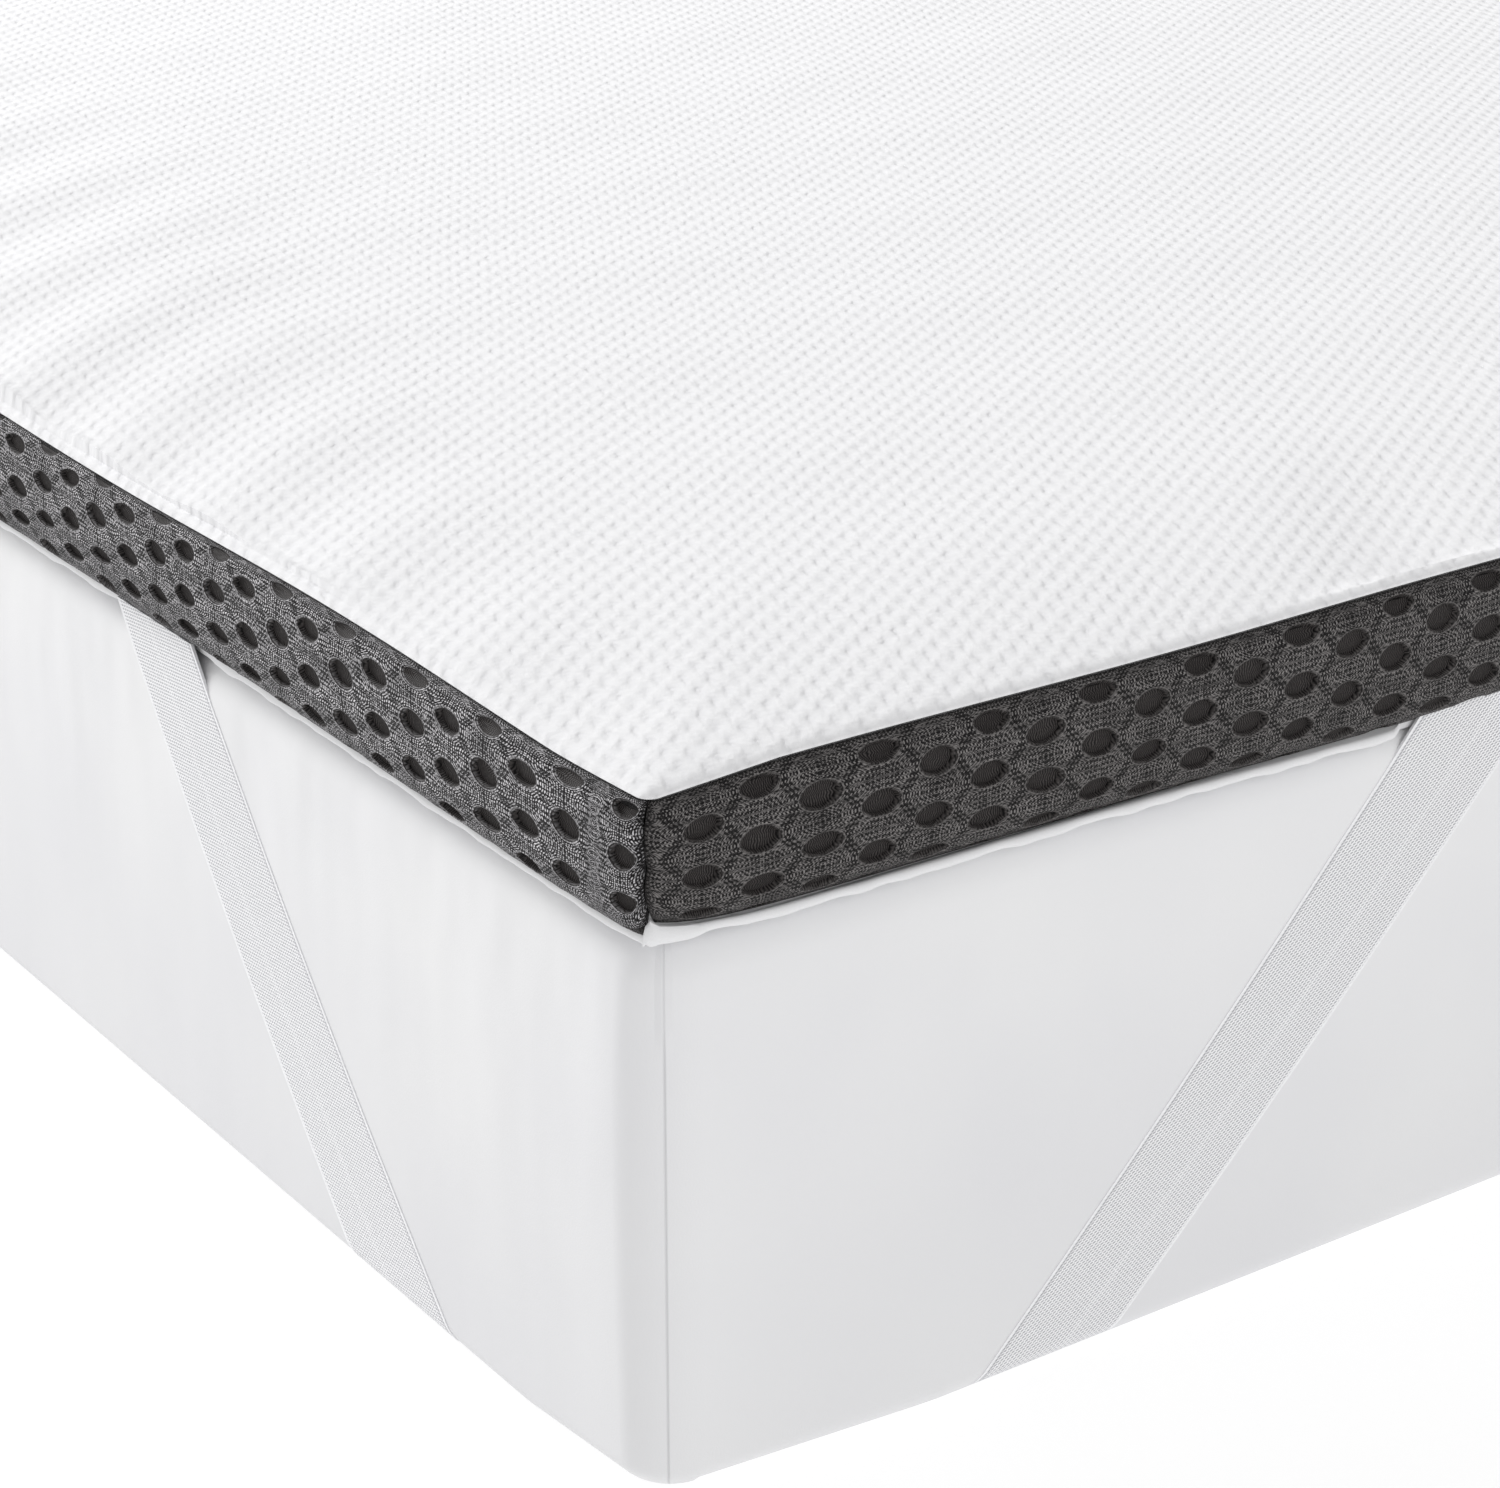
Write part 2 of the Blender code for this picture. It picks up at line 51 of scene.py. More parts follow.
WIDE = 1.400
LONG = 1.900
HALF = (WIDE / 2, LONG / 2)
CORNER = 0.010              # radius of the upright corners
SEAM_LOW = 0.2312           # bottom seam of the border
BORDER_HIGH = 0.0545        # from there to the top seam
SEAM_FADE = 0.049           # the seams' waves fade out this far from each corner
SWAY_WAVE = 0.57

# The sides, anticlockwise from the foot: outward and forward direction, length, the top seam's
# mean rise, swing, crest place and wave length, and how far the edge sways in and out.
Side = namedtuple("Side", "name out way long rise swing crest wave sway")
SIDES = (
    Side("foot", (0, -1), (1, 0), WIDE, 0.0024, 0.0004, 0.10, 0.26, 0.0007),
    Side("right", (1, 0), (0, 1), LONG, 0.0004, 0.0016, 0.31, 0.41, 0.0010),
    Side("head", (0, 1), (-1, 0), WIDE, 0.0008, 0.0013, 0.22, 0.37, 0.0008),
    Side("left", (-1, 0), (0, -1), LONG, 0.0002, 0.0016, 1.70, 0.40, 0.0010),
)


def spot(side, along, out, radius=CORNER):
    """Plan point `along` a side from its first corner and `out` from the nominal outline."""
    past = min(along - radius, 0.0) + max(along - (side.long - radius), 0.0)
    turn = past / radius
    depth = HALF[0] if side.out[0] else HALF[1]
    run = along - past - side.long / 2
    reach = radius + out
    return tuple(outward * (depth - radius + reach * cos(turn))
                 + forward * (run + reach * sin(turn))
                 for outward, forward in zip(side.out, side.way))


def seam_fade(side, along):
    """1 along a side, falling to 0 at its corners."""
    return max(0.0, min(1.0, (min(along, side.long - along) - CORNER) / SEAM_FADE))


def border_high(side, along):
    """Height of the border, which the top seam's wave changes."""
    wave = side.rise + side.swing * cos(2 * pi * (along - side.crest) / side.wave)
    return BORDER_HIGH + wave * seam_fade(side, along)


def sway(side, along):
    """How far the topper's edge stands out of its nominal outline."""
    return side.sway * sin(2 * pi * (along - side.crest) / SWAY_WAVE) * seam_fade(side, along)


def edge_point(side, along, out, up, lift=0.0):
    """Point of the topper's edge, `up` as a share of the border's height, `lift` above that."""
    x, y = spot(side, along, out + sway(side, along))
    return (x, y, SEAM_LOW + up * border_high(side, along) + lift)


# Soft ridges, and troughs, that the seams pull up: both ends as distances from the left and the
# foot edge, half width, and height
Ripple = namedtuple("Ripple", "x0 y0 x1 y1 half high")
RIPPLES = (
    Ripple(0.015, 0.130, 0.100, 0.190, 0.030, 0.0014),
    Ripple(0.015, 0.235, 0.120, 0.310, 0.030, 0.0018),
    Ripple(0.015, 0.330, 0.150, 0.430, 0.032, 0.0022),
    Ripple(0.015, 0.425, 0.170, 0.540, 0.034, 0.0032),
    Ripple(0.015, 0.520, 0.210, 0.655, 0.036, 0.0042),
    Ripple(0.015, 0.620, 0.280, 0.765, 0.038, 0.0036),
    Ripple(0.015, 0.725, 0.320, 0.880, 0.040, 0.0034),
    Ripple(0.015, 0.840, 0.340, 1.000, 0.040, 0.0030),
    Ripple(0.015, 0.965, 0.330, 1.110, 0.042, 0.0028),
    Ripple(0.015, 1.130, 0.260, 1.260, 0.040, 0.0022),
    Ripple(0.015, 1.340, 0.220, 1.430, 0.040, 0.0020),
    Ripple(0.360, 0.015, 0.440, 0.130, 0.034, -0.0024),
    Ripple(0.760, 0.015, 0.700, 0.150, 0.045, 0.0020),
    Ripple(1.385, 0.500, 1.240, 0.590, 0.045, 0.0022),
    Ripple(1.385, 0.930, 1.200, 1.040, 0.050, 0.0024),
    Ripple(1.385, 1.380, 1.250, 1.450, 0.045, 0.0020),
    Ripple(0.480, 1.885, 0.560, 1.720, 0.050, 0.0022),
    Ripple(0.980, 1.885, 1.040, 1.740, 0.050, 0.0020),
)
RIM_LIFT = 0.0036           # the top at the inner end of its rolled edge, over the seam
CROWN = 0.0098              # further rise towards the middle
CROWN_REACH = 0.055         # distance over which most of that rise comes
RIPPLE_SWELL = 1.5          # the ripples stand this many times higher than the table's heights
# Shallow swellings between the places where the knit clings to the foam: their height, spacing
# across and along the bed, and the crest that each row of them starts from
SWELLING = 0.0010
SWELLING_STEPS = (0.165, 0.135)
SWELLING_ROWS = ((-0.57, -0.30), (-0.44, -0.36), (-0.30, -0.43), (-0.17, -0.415), (-0.04, -0.40),
                 (0.16, -0.32), (0.55, -0.42), (0.95, -0.33))


def ripple_high(x, y):
    """Height that the ripples add at a plan point."""
    total = 0.0
    for r in RIPPLES:
        ahead = (r.x1 - r.x0, r.y1 - r.y0)
        length = hypot(*ahead)
        dx, dy = x + HALF[0] - r.x0, y + HALF[1] - r.y0
        share = (dx * ahead[0] + dy * ahead[1]) / length ** 2
        aside = (dx * ahead[1] - dy * ahead[0]) / length
        beyond = (share - max(0.0, min(1.0, share))) * length
        start_and_end = 1.0 - max(0.0, min(1.0, share)) ** 2
        total += r.high * start_and_end * exp(-(aside ** 2 + beyond ** 2) / r.half ** 2)
    return RIPPLE_SWELL * total


def swelling_high(x, y):
    """Height that the shallow swellings add at a plan point."""
    row_places, crests = zip(*SWELLING_ROWS)
    across = cos(2 * pi * (x - np.interp(y, row_places, crests)) / SWELLING_STEPS[0])
    lengthways = cos(2 * pi * (y - row_places[2]) / SWELLING_STEPS[1])
    return SWELLING * (0.5 + 0.5 * across) * (0.5 + 0.5 * lengthways)


def pad_top(x, y):
    """Height of the pad's top away from its rolled edge."""
    seam_shades = []
    for side in SIDES:
        inset = (HALF[0] if side.out[0] else HALF[1]) - x * side.out[0] - y * side.out[1]
        along = side.long / 2 + x * side.way[0] + y * side.way[1]
        seam_shades.append((inset, border_high(side, along) - BORDER_HIGH))
    inset = min(seam_shades)[0] - CORNER
    waves = sum(rise * exp(-(gap - CORNER) / CROWN_REACH) for gap, rise in seam_shades)
    settled = 1.0 - exp(-inset / CROWN_REACH)
    return (SEAM_LOW + BORDER_HIGH + RIM_LIFT + waves + CROWN * settled
            + swelling_high(x, y) * settled + ripple_high(x, y))


# Rings of the rolled edge, outwards from the flat top, under it to the seam and down behind the
# border to the pad's underside: how far out, share of the border's height, and lift above that
ROLL = (
    (-0.0090, 1.0, 0.0034), (-0.0078, 1.0, 0.0031), (-0.0067, 1.0, 0.0027), (-0.0057, 1.0, 0.0022),
    (-0.0049, 1.0, 0.0017), (-0.0045, 1.0, 0.0012), (-0.0044, 1.0, 0.0008), (-0.0050, 1.0, 0.0005),
    (-0.0087, 1.0, 0.0005), (-0.0045, 0.5, 0.0), (-0.0095, 0.0, 0.0),
)
TOP_GRID = 0.0070           # spacing of the mesh over the top
turns = len(ROLL)
columns = round((WIDE - 2 * CORNER) / TOP_GRID)
rows = round((LONG - 2 * CORNER) / TOP_GRID)

# How far each ring lies from the flat top's edge along the cloth, for the knit's pattern
roll_lengths = [0.0]
last_ring = (-CORNER, RIM_LIFT)
for out, up, lift in ROLL:
    ring_place = (out, up * BORDER_HIGH - BORDER_HIGH + lift)
    roll_lengths.append(roll_lengths[-1] + hypot(ring_place[0] - last_ring[0],
                                                 ring_place[1] - last_ring[1]))
    last_ring = ring_place


def pad_place(i, j):
    """Place of the pad's grid point i, j, and its place on the flat cloth."""
    x = max(0, min(columns, i - turns)) / columns * (WIDE - 2 * CORNER) + CORNER
    y = max(0, min(rows, j - turns)) / rows * (LONG - 2 * CORNER) + CORNER
    over_x = i - turns - max(0, min(columns, i - turns))
    over_y = j - turns - max(0, min(rows, j - turns))
    ring = max(abs(over_x), abs(over_y))
    if ring == 0:
        x, y = x - HALF[0], y - HALF[1]
        return (x, y, pad_top(x, y)), (x, y)
    foot, right, head, left = SIDES
    if over_y < 0 and over_x == 0:
        side, along = foot, x
    elif over_x > 0 and over_y == 0:
        side, along = right, y
    elif over_y > 0 and over_x == 0:
        side, along = head, WIDE - x
    elif over_x < 0 and over_y == 0:
        side, along = left, LONG - y
    else:
        side = {(1, -1): foot, (1, 1): right, (-1, 1): head, (-1, -1): left}[
            (1 if over_x > 0 else -1, 1 if over_y > 0 else -1)]
        first = abs(over_y) if side.out[1] else abs(over_x)
        other = abs(over_x) if side.out[1] else abs(over_y)
        turn = 0.5 * other / first if first >= other else 1.0 - 0.5 * first / other
        along = side.long - CORNER + CORNER * pi / 2 * turn
    out, up, lift = ROLL[ring - 1]
    return edge_point(side, along, out, up, lift), spot(side, along, roll_lengths[ring] - CORNER)


def new_piece(name):
    """The object that a primitive has just made, under its own name."""
    made = bpy.context.object
    made.name = made.data.name = name
    return made


def set_points(piece, points):
    """Put every vertex in its place."""
    piece.data.vertices.foreach_set("co", np.array(points, np.float32).ravel())
    piece.data.update()


def set_uv(piece, name, flat):
    """A UV map from one pair for each vertex."""
    for old in list(piece.data.uv_layers):
        piece.data.uv_layers.remove(old)
    layer = piece.data.uv_layers.new(name=name)
    corners = np.zeros(len(piece.data.loops), np.int32)
    piece.data.loops.foreach_get("vertex_index", corners)
    layer.data.foreach_set("uv", np.array(flat, np.float32)[corners].ravel())


def select_only(*pieces):
    """Select these pieces, or none, and make the last one active."""
    bpy.ops.object.select_all(action="DESELECT")
    for piece in pieces:
        piece.select_set(True)
        bpy.context.view_layer.objects.active = piece


def face_outwards(piece, angle):
    """Turn all faces outwards, and shade them smooth, but for edges sharper than an angle."""
    select_only(piece)
    bpy.ops.object.mode_set(mode="EDIT")
    bpy.ops.mesh.select_all(action="SELECT")
    bpy.ops.mesh.normals_make_consistent(inside=False)
    bpy.ops.object.mode_set(mode="OBJECT")
    bpy.ops.object.shade_smooth_by_angle(angle=radians(angle))


select_only()
bpy.ops.mesh.primitive_grid_add(x_subdivisions=columns + 2 * turns,
                                y_subdivisions=rows + 2 * turns, size=2.0)
pad = new_piece("knitted_pad")
pad_grid = [(round((v.co.x + 1) / 2 * (columns + 2 * turns)),
             round((v.co.y + 1) / 2 * (rows + 2 * turns))) for v in pad.data.vertices]
bpy.ops.object.mode_set(mode="EDIT")
bpy.ops.mesh.select_mode(type="EDGE")
bpy.ops.mesh.select_all(action="DESELECT")
bpy.ops.mesh.select_non_manifold()
bpy.ops.mesh.edge_face_add()
bpy.ops.object.mode_set(mode="OBJECT")
pad_places = [pad_place(i, j) for i, j in pad_grid]
set_points(pad, [place for place, flat in pad_places])
set_uv(pad, "cloth", [flat for place, flat in pad_places])
face_outwards(pad, 70)


class Wire:
    """A shader socket that takes part in formulas, which add the nodes that work them out."""

    def __init__(self, tree, socket=None):
        self.tree = tree
        self.socket = socket

    def node(self, kind, settings, sockets, output=0):
        """A node of one kind: its settings first, then values or wires into its sockets."""
        made = self.tree.nodes.new(kind)
        for name, value in settings.items():
            setattr(made, name, value)
        for name, value in sockets.items():
            if isinstance(value, Wire):
                self.tree.links.new(value.socket, made.inputs[name])
            else:
                made.inputs[name].default_value = value
        return Wire(self.tree, made.outputs[output])

    def math(self, operation, *values):
        return self.node("ShaderNodeMath", {"operation": operation}, dict(enumerate(values)))

    def __add__(self, other):
        return self.math("ADD", self, other)

    def __sub__(self, other):
        return self.math("SUBTRACT", self, other)

    def __rsub__(self, other):
        return self.math("SUBTRACT", other, self)

    def __mul__(self, other):
        return self.math("MULTIPLY", self, other)

    def __truediv__(self, other):
        return self.math("DIVIDE", self, other)

    def __pow__(self, other):
        return self.math("POWER", self, other)

    def __abs__(self):
        return self.math("ABSOLUTE", self)

    __radd__ = __add__
    __rmul__ = __mul__

    def cloth_place(self, name):
        """Place on the flat cloth, from a UV map."""
        return self.node("ShaderNodeUVMap", {"uv_map": name}, {})

    def place(self):
        """Place in the piece."""
        return self.node("ShaderNodeTexCoord", {}, {}, output=3)

    def parts(self):
        """The X, Y and Z of a vector."""
        found = self.node("ShaderNodeSeparateXYZ", {}, {0: self})
        return [Wire(self.tree, socket) for socket in found.socket.node.outputs]

    def cosine(self):
        return self.math("COSINE", self)

    def clamp(self):
        return self.node("ShaderNodeClamp", {}, {0: self})

    def near(self, middle, reach):
        """1 where this wire has one value, falling to 0 within a reach on both sides."""
        return (1.0 - abs(self - middle) / reach).clamp()

    def mix(self, low, high):
        """A colour between two, by this wire."""
        return self.node("ShaderNodeMix", {"data_type": "RGBA"}, {0: self, 6: low, 7: high}, 2)

    def noise(self, scale, detail=2.0, roughness=0.5):
        """Soft noise on a vector wire, near 0.5."""
        return self.node("ShaderNodeTexNoise", {},
                         {"Vector": self, "Scale": scale, "Detail": detail,
                          "Roughness": roughness})

    def bump(self, distance, strength=1.0, under=None):
        """A normal from this wire as a height, over another bump."""
        sockets = {"Height": self, "Distance": distance, "Strength": strength}
        if under is not None:
            sockets["Normal"] = under
        return self.node("ShaderNodeBump", {}, sockets)

    def feed(self, shader, name):
        self.tree.links.new(self.socket, shader.inputs[name])


def new_cloth(name, **constants):
    """A material, its shader with constant sockets set, and a wire to start formulas from."""
    made = bpy.data.materials.new(name)
    made.use_nodes = True
    shader = made.node_tree.nodes["Principled BSDF"]
    for socket, value in constants.items():
        shader.inputs[socket.replace("_", " ")].default_value = value
    return made, shader, Wire(made.node_tree)


# The knit is a lattice of small soft hollows. These are the cycles a metre of its waves over the
# flat cloth, across the bed and along it, and how much each wave counts
KNIT_WAVES = ((-60.5, 97.8, 0.75), (-123.3, 12.5, 1.0), (-183.8, 110.3, 0.30),
              (-307.1, 122.8, 0.12))
KNIT_DEEP = 0.0008
KNIT_DRIFT = 0.022          # how much noise bends them
KNIT_DIM = (0.760, 0.760, 0.778, 1.0)
KNIT_WHITE = (0.945, 0.943, 0.950, 1.0)

knit, knit_shader, start = new_cloth("white_pitted_knit", Roughness=0.95, Sheen_Weight=0.04,
                                     Sheen_Roughness=0.6, Specular_IOR_Level=0.10)
knit_place = start.cloth_place("cloth")
u, v, unused = knit_place.parts()
drift = knit_place.noise(7.0, 1.0) + knit_place.noise(130.0, 1.0) * 1.15
hollows = 0.0
for across, along, weight in KNIT_WAVES:
    turn = (u * across + v * along) * (2 * pi) + drift * (across * KNIT_DRIFT)
    hollows = turn.cosine() * weight + hollows
fuzz = knit_place.noise(1500.0, 3.0, 0.75)
yarn = knit_place.noise(420.0, 2.0, 0.6)
uneven = knit_place.noise(30.0, 2.0)
raised = (0.60 - hollows * (0.04 + 0.44 * knit_place.noise(240.0, 1.0))).clamp()
height = raised * (0.7 + 0.6 * uneven) + yarn * 0.28 + fuzz * 0.16
height.bump(KNIT_DEEP).feed(knit_shader, "Normal")
# Painted shade: the knit's hollows are coloured darker, together with the yarn's and the fuzz's own
# tone
shade = (raised * 0.34 + fuzz * 0.36 + yarn * 0.30).clamp()
shade.mix(KNIT_DIM, KNIT_WHITE).feed(knit_shader, "Base Color")
pad.data.materials.append(knit)
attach(pad, "root")
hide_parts("filled_pad_with_top_panel")


# --- spacer mesh border ----------------------------------------------------------------------
# Four strips of charcoal spacer mesh, one a side, sewn to each other at the corners. The mesh is
# 3 mm thick: its face is knitted round oval holes in a brick pattern, over a closed back.

# Section from the top seam to the bottom one, outside and inside: out, share of the height
BORDER_OUTSIDE = ((-0.0048, 1.0), (-0.0012, 0.915), (0.0, 0.64), (-0.0002, 0.365),
                  (-0.0030, 0.095), (-0.0098, 0.0))
BORDER_INSIDE = ((-0.0080, 0.99), (-0.0045, 0.90), (-0.0033, 0.50), (-0.0060, 0.13),
                 (-0.0098, 0.03))
BORDER_CUT = 0.0585         # height of a strip laid flat
HOLE_EDGES = 16             # edges round a hole
HOLE_HALF = (0.325, 0.48)   # half a hole, in columns along the strip and in rows up it
# Rings of one hole's cell from its floor outwards: size against the mouth, and depth
HOLE_RINGS = ((0.92, 0.0023), (1.0, 0.0004), (1.16, -0.0001))
PIT_EDGE = 0.0005           # the painted shade of a hole starts at its mouth and is full at this depth
CELLS = 4                   # holes in a full column
ROWS = 2 * CELLS            # half cells between the seams
SEAM_GAP = 0.0002           # half the gap between two strips at a corner
SEAM_PINCH = 0.0018         # how far a corner seam is drawn in
SEAM_WANDER = 0.0006        # how far a corner seam wanders sideways
SEAM_SETTLES = 0.0045       # its pinch, and the painted shade at the seam, fade out over this length of the strip, and its wandering over this one
SEAM_STRAIGHT = 0.008       # and its wandering over this one
# At the corners the lower seam is drawn up this far, which fades out over this length
DRAWN_UP = {"foot": (0.0111, 0.021), "right": (0.0161, 0.0045), "head": (0.0106, 0.020),
            "left": (0.0165, 0.0043)}
# Further along it sags, where the slack gathers: the lowest place along each side, and how far
SAG = {"foot": (0.37, 0.0035), "right": (1.53, 0.0020), "head": (1.01, 0.0026),
       "left": (1.10, 0.0022)}
SAG_REACH = 0.11
CORNER_ARC = CORNER * pi / 4

# How the mesh was cut: width of a column, plain cloth before the first one, how many follow,
# whether the first has its holes in the even rows, columns whose holes are pulled shut, and the
# places of its rows below the top seam, at one end and further on
EVEN_ROWS = (0.0, 0.0050, 0.0145, 0.0240, 0.0330, 0.0412, 0.0480, 0.0535, BORDER_CUT)
Cut = namedtuple("Cut", "column start count odd shut rows_end rows")
CUTS = {
    "foot": Cut(0.0245, 0.0110, 56, True, (),
                (0.0, 0.0058, 0.0156, 0.0251, 0.0338, 0.0420, 0.0488, 0.0541, BORDER_CUT),
                EVEN_ROWS),
    "right": Cut(0.0251, 0.0085, 75, False, (), EVEN_ROWS, EVEN_ROWS),
    "head": Cut(0.0247, 0.0060, 56, True, (), EVEN_ROWS, EVEN_ROWS),
    "left": Cut(0.0260, 0.0177, 73, False, (71,),
                (0.0, 0.0040, 0.0125, 0.0226, 0.0322, 0.0406, 0.0474, 0.0530, BORDER_CUT),
                (0.0, 0.0003, 0.0070, 0.0162, 0.0262, 0.0342, 0.0402, 0.0466, BORDER_CUT)),
}
ROWS_SETTLE = 0.40          # the end's rows give way to the others over this length
LAST_COLUMNS = (0.0320, 0.0210)     # on the left, the last two columns end this far from the end
TOP_HOLES = (1.6, 0.35)     # on the left, holes above this row keep this share of their depth
# The mesh is never cut and sewn quite straight: how far its holes drift along the strip, how much
# a slant moves each row, how far the rows wave, as a share of the height, and each one's pace, in
# radians a metre
HOLE_DRIFT, DRIFT_PACE = 0.0009, 61.0
ROW_SLANT, SLANT_PACE = 0.00022, 31.0
ROW_WAVE, WAVE_PACE = 0.010, 83.0
DRIFT_ENDS = 0.02           # the drift and the slant fade out this far from the ends
NEARLY = 0.01               # points of the flat mesh this close are level, in columns and rows
BACK_CUTS = 4               # rows of the closed back, less one


def box_ring(angle):
    """Point on the edge of a 2 by 2 square, for a point round a circle."""
    eighth = (angle / (pi / 4)) % 8
    quarter = int(((eighth + 1) % 8) // 2)
    slant = (eighth + 1) % 2 - 1
    return ((1, slant), (-slant, 1), (-1, -slant), (slant, -1))[quarter]


def repeat(piece, step, count):
    """Repeat a piece's mesh in steps, and merge the copies where they meet."""
    array = piece.modifiers.new("copies", "ARRAY")
    array.use_relative_offset = False
    array.use_constant_offset = True
    array.constant_offset_displace = step
    array.count = count
    array.use_merge_vertices = True
    array.merge_threshold = 0.001
    bpy.ops.object.modifier_apply(modifier="copies")


def hole_column(name, odd):
    """One column of the flat mesh, in columns and rows: holes, and plain cloth at its ends."""
    select_only()
    bpy.ops.mesh.primitive_circle_add(vertices=HOLE_EDGES, radius=1.0, fill_type="NGON")
    cell = new_piece(name)
    bpy.ops.object.mode_set(mode="EDIT")
    for ring in range(len(HOLE_RINGS)):
        bpy.ops.mesh.select_all(action="DESELECT")
        bpy.ops.mesh.select_mode(type="EDGE")
        bpy.ops.mesh.select_non_manifold()
        bpy.ops.mesh.extrude_edges_move(TRANSFORM_OT_translate={"value": (0.0, 0.0, 1.0)})
    bpy.ops.object.mode_set(mode="OBJECT")
    for vertex in cell.data.vertices:
        angle = np.arctan2(vertex.co.y, vertex.co.x)
        ring = round(vertex.co.z)
        if ring < len(HOLE_RINGS):
            size, depth = HOLE_RINGS[ring]
            vertex.co = (size * HOLE_HALF[0] * cos(angle), size * HOLE_HALF[1] * sin(angle), depth)
        else:
            across, up = box_ring(angle)
            vertex.co = (across / 2, up, 0.0)
    repeat(cell, (0.0, 2.0, 0.0), CELLS - odd)
    cell.location = (0.5, 1.0 + odd, 0.0)
    bpy.ops.object.transform_apply()
    fillers = []
    for middle in ((0.5, ROWS - 0.5) if odd else ()):
        select_only()
        bpy.ops.mesh.primitive_grid_add(x_subdivisions=HOLE_EDGES // 4,
                                        y_subdivisions=HOLE_EDGES // 8, size=1.0,
                                        location=(0.5, middle, 0.0))
        bpy.ops.object.transform_apply()
        fillers.append(bpy.context.object)
    select_only(*fillers, cell)
    if fillers:
        bpy.ops.object.join()
    return cell


def plain_end(first, last):
    """Plain cloth across the whole strip, at one of its ends."""
    select_only()
    bpy.ops.mesh.primitive_grid_add(x_subdivisions=4, y_subdivisions=ROWS * HOLE_EDGES // 8,
                                    size=1.0, location=((first + last) / 2, ROWS / 2, 0.0))
    bpy.context.object.scale = (last - first, ROWS, 1.0)
    bpy.ops.object.transform_apply()
    return bpy.context.object


def smooth_curve(table, share):
    """Point of a smooth curve through a table's points, by a share of its length."""
    points = np.array(table, float)
    lengths = np.hypot(*(np.diff(points, axis=0) * (1.0, BORDER_HIGH)).T)
    places = np.concatenate([[0.0], np.cumsum(lengths)]) / lengths.sum()
    tangents = np.gradient(points, places, axis=0)
    k = int(np.clip(np.searchsorted(places, share, side="right") - 1, 0, len(points) - 2))
    step = places[k + 1] - places[k]
    t = min(1.0, max(0.0, (share - places[k]) / step))
    return (points[k] * (2 * t ** 3 - 3 * t ** 2 + 1) + points[k + 1] * (3 * t ** 2 - 2 * t ** 3)
            + tangents[k] * step * (t ** 3 - 2 * t ** 2 + t)
            + tangents[k + 1] * step * (t ** 3 - t ** 2))


# Stations down the outside, with the way that each one faces, measured over a short run
SECTION_STATIONS = 118
SECTION_RUN = 0.004
section_line = []
for share in np.linspace(0.0, 1.0, SECTION_STATIONS):
    here = smooth_curve(BORDER_OUTSIDE, share)
    run = (smooth_curve(BORDER_OUTSIDE, min(1.0, share + SECTION_RUN))
           - smooth_curve(BORDER_OUTSIDE, max(0.0, share - SECTION_RUN))) * (1.0, BORDER_HIGH)
    normal = np.array((-run[1], run[0])) / np.hypot(*run)
    section_line.append((share, *here, *normal))
section_line = np.array(section_line).T


def cloth_height(cut, from_end, row):
    """Distance below the top seam along the cloth, for a place in rows."""
    settled = min(1.0, from_end / ROWS_SETTLE) ** 2
    near, far = (np.interp(row, range(ROWS + 1), rows) for rows in (cut.rows_end, cut.rows))
    return float(near + (far - near) * settled)


def drawn_up(side, along):
    """How far the lower seam is drawn up here, or sags, if below 0."""
    high, reach = DRAWN_UP[side.name]
    lowest, sag = SAG[side.name]
    return (high * exp(-max(0.0, min(along, side.long - along)) / reach)
            - sag * exp(-((along - lowest) / SAG_REACH) ** 2))


def mesh_place(side, cut, long, x, row, depth):
    """Place of a point of the strip, from its place on the flat cloth in metres and rows."""
    reach = min(1.0, min(x, long - x) / DRIFT_ENDS)
    pull = (row - ROWS / 2) * ROW_SLANT * sin(x * SLANT_PACE + side.crest * 7.0)
    x += reach * (HOLE_DRIFT * sin(x * DRIFT_PACE + row * 0.7) + pull)
    from_corner = long - x if side.name == "left" else x
    share = cloth_height(cut, from_corner, row) / BORDER_CUT
    share += ROW_WAVE * sin(x * WAVE_PACE + row) * sin(pi * row / ROWS)
    out, up, face_out, face_up = (float(np.interp(share, section_line[0], line))
                                  for line in section_line[1:])
    from_end = min(x, long - x)
    wander = SEAM_WANDER * sin(row * 2.3) * exp(-from_end / SEAM_STRAIGHT)
    pinch = SEAM_PINCH * exp(-from_end / SEAM_SETTLES) * (1.0 + 0.25 * sin(row * 4.1))
    out += -depth * face_out - pinch
    along = x + wander + CORNER - CORNER_ARC
    return edge_point(side, along, out, up, drawn_up(side, along) * (1.0 - up) - depth * face_up)


# The mesh's yarns, by its columns and rows, which are whole numbers at a hole's middle: light
# threads part round the holes between small dark eyelets, with bigger eyelets in lines from one
# hole's end to the next one's
STITCHES = (12, 6)          # in one column, in one row
EYELETS = (11.5, 4.5)       # the same for the bigger eyelets
EYELET_LINE = 0.13          # half width of a line of them, in columns
RIM = (1.13, 0.055)         # a hole's light rim, as a share of the hole's size, and its half width
MESH_GROUND = (0.0085, 0.0080, 0.0082, 1.0)
MESH_SHADOW = (0.0050, 0.0048, 0.0048, 1.0)
YARN_ENDS = (0.250, 0.236, 0.232, 1.0)      # the light yarn, on foot and head and on the long sides, lighter there as a painted sheen
YARN_PAINTED_SHEEN = (0.820, 0.800, 0.825, 1.0)     # and on the long sides, where it shines
PIT_PAINTED_SHADE = (0.0040, 0.0038, 0.0040, 1.0)
PIT_YARN = (0.0800, 0.0720, 0.0700, 1.0)

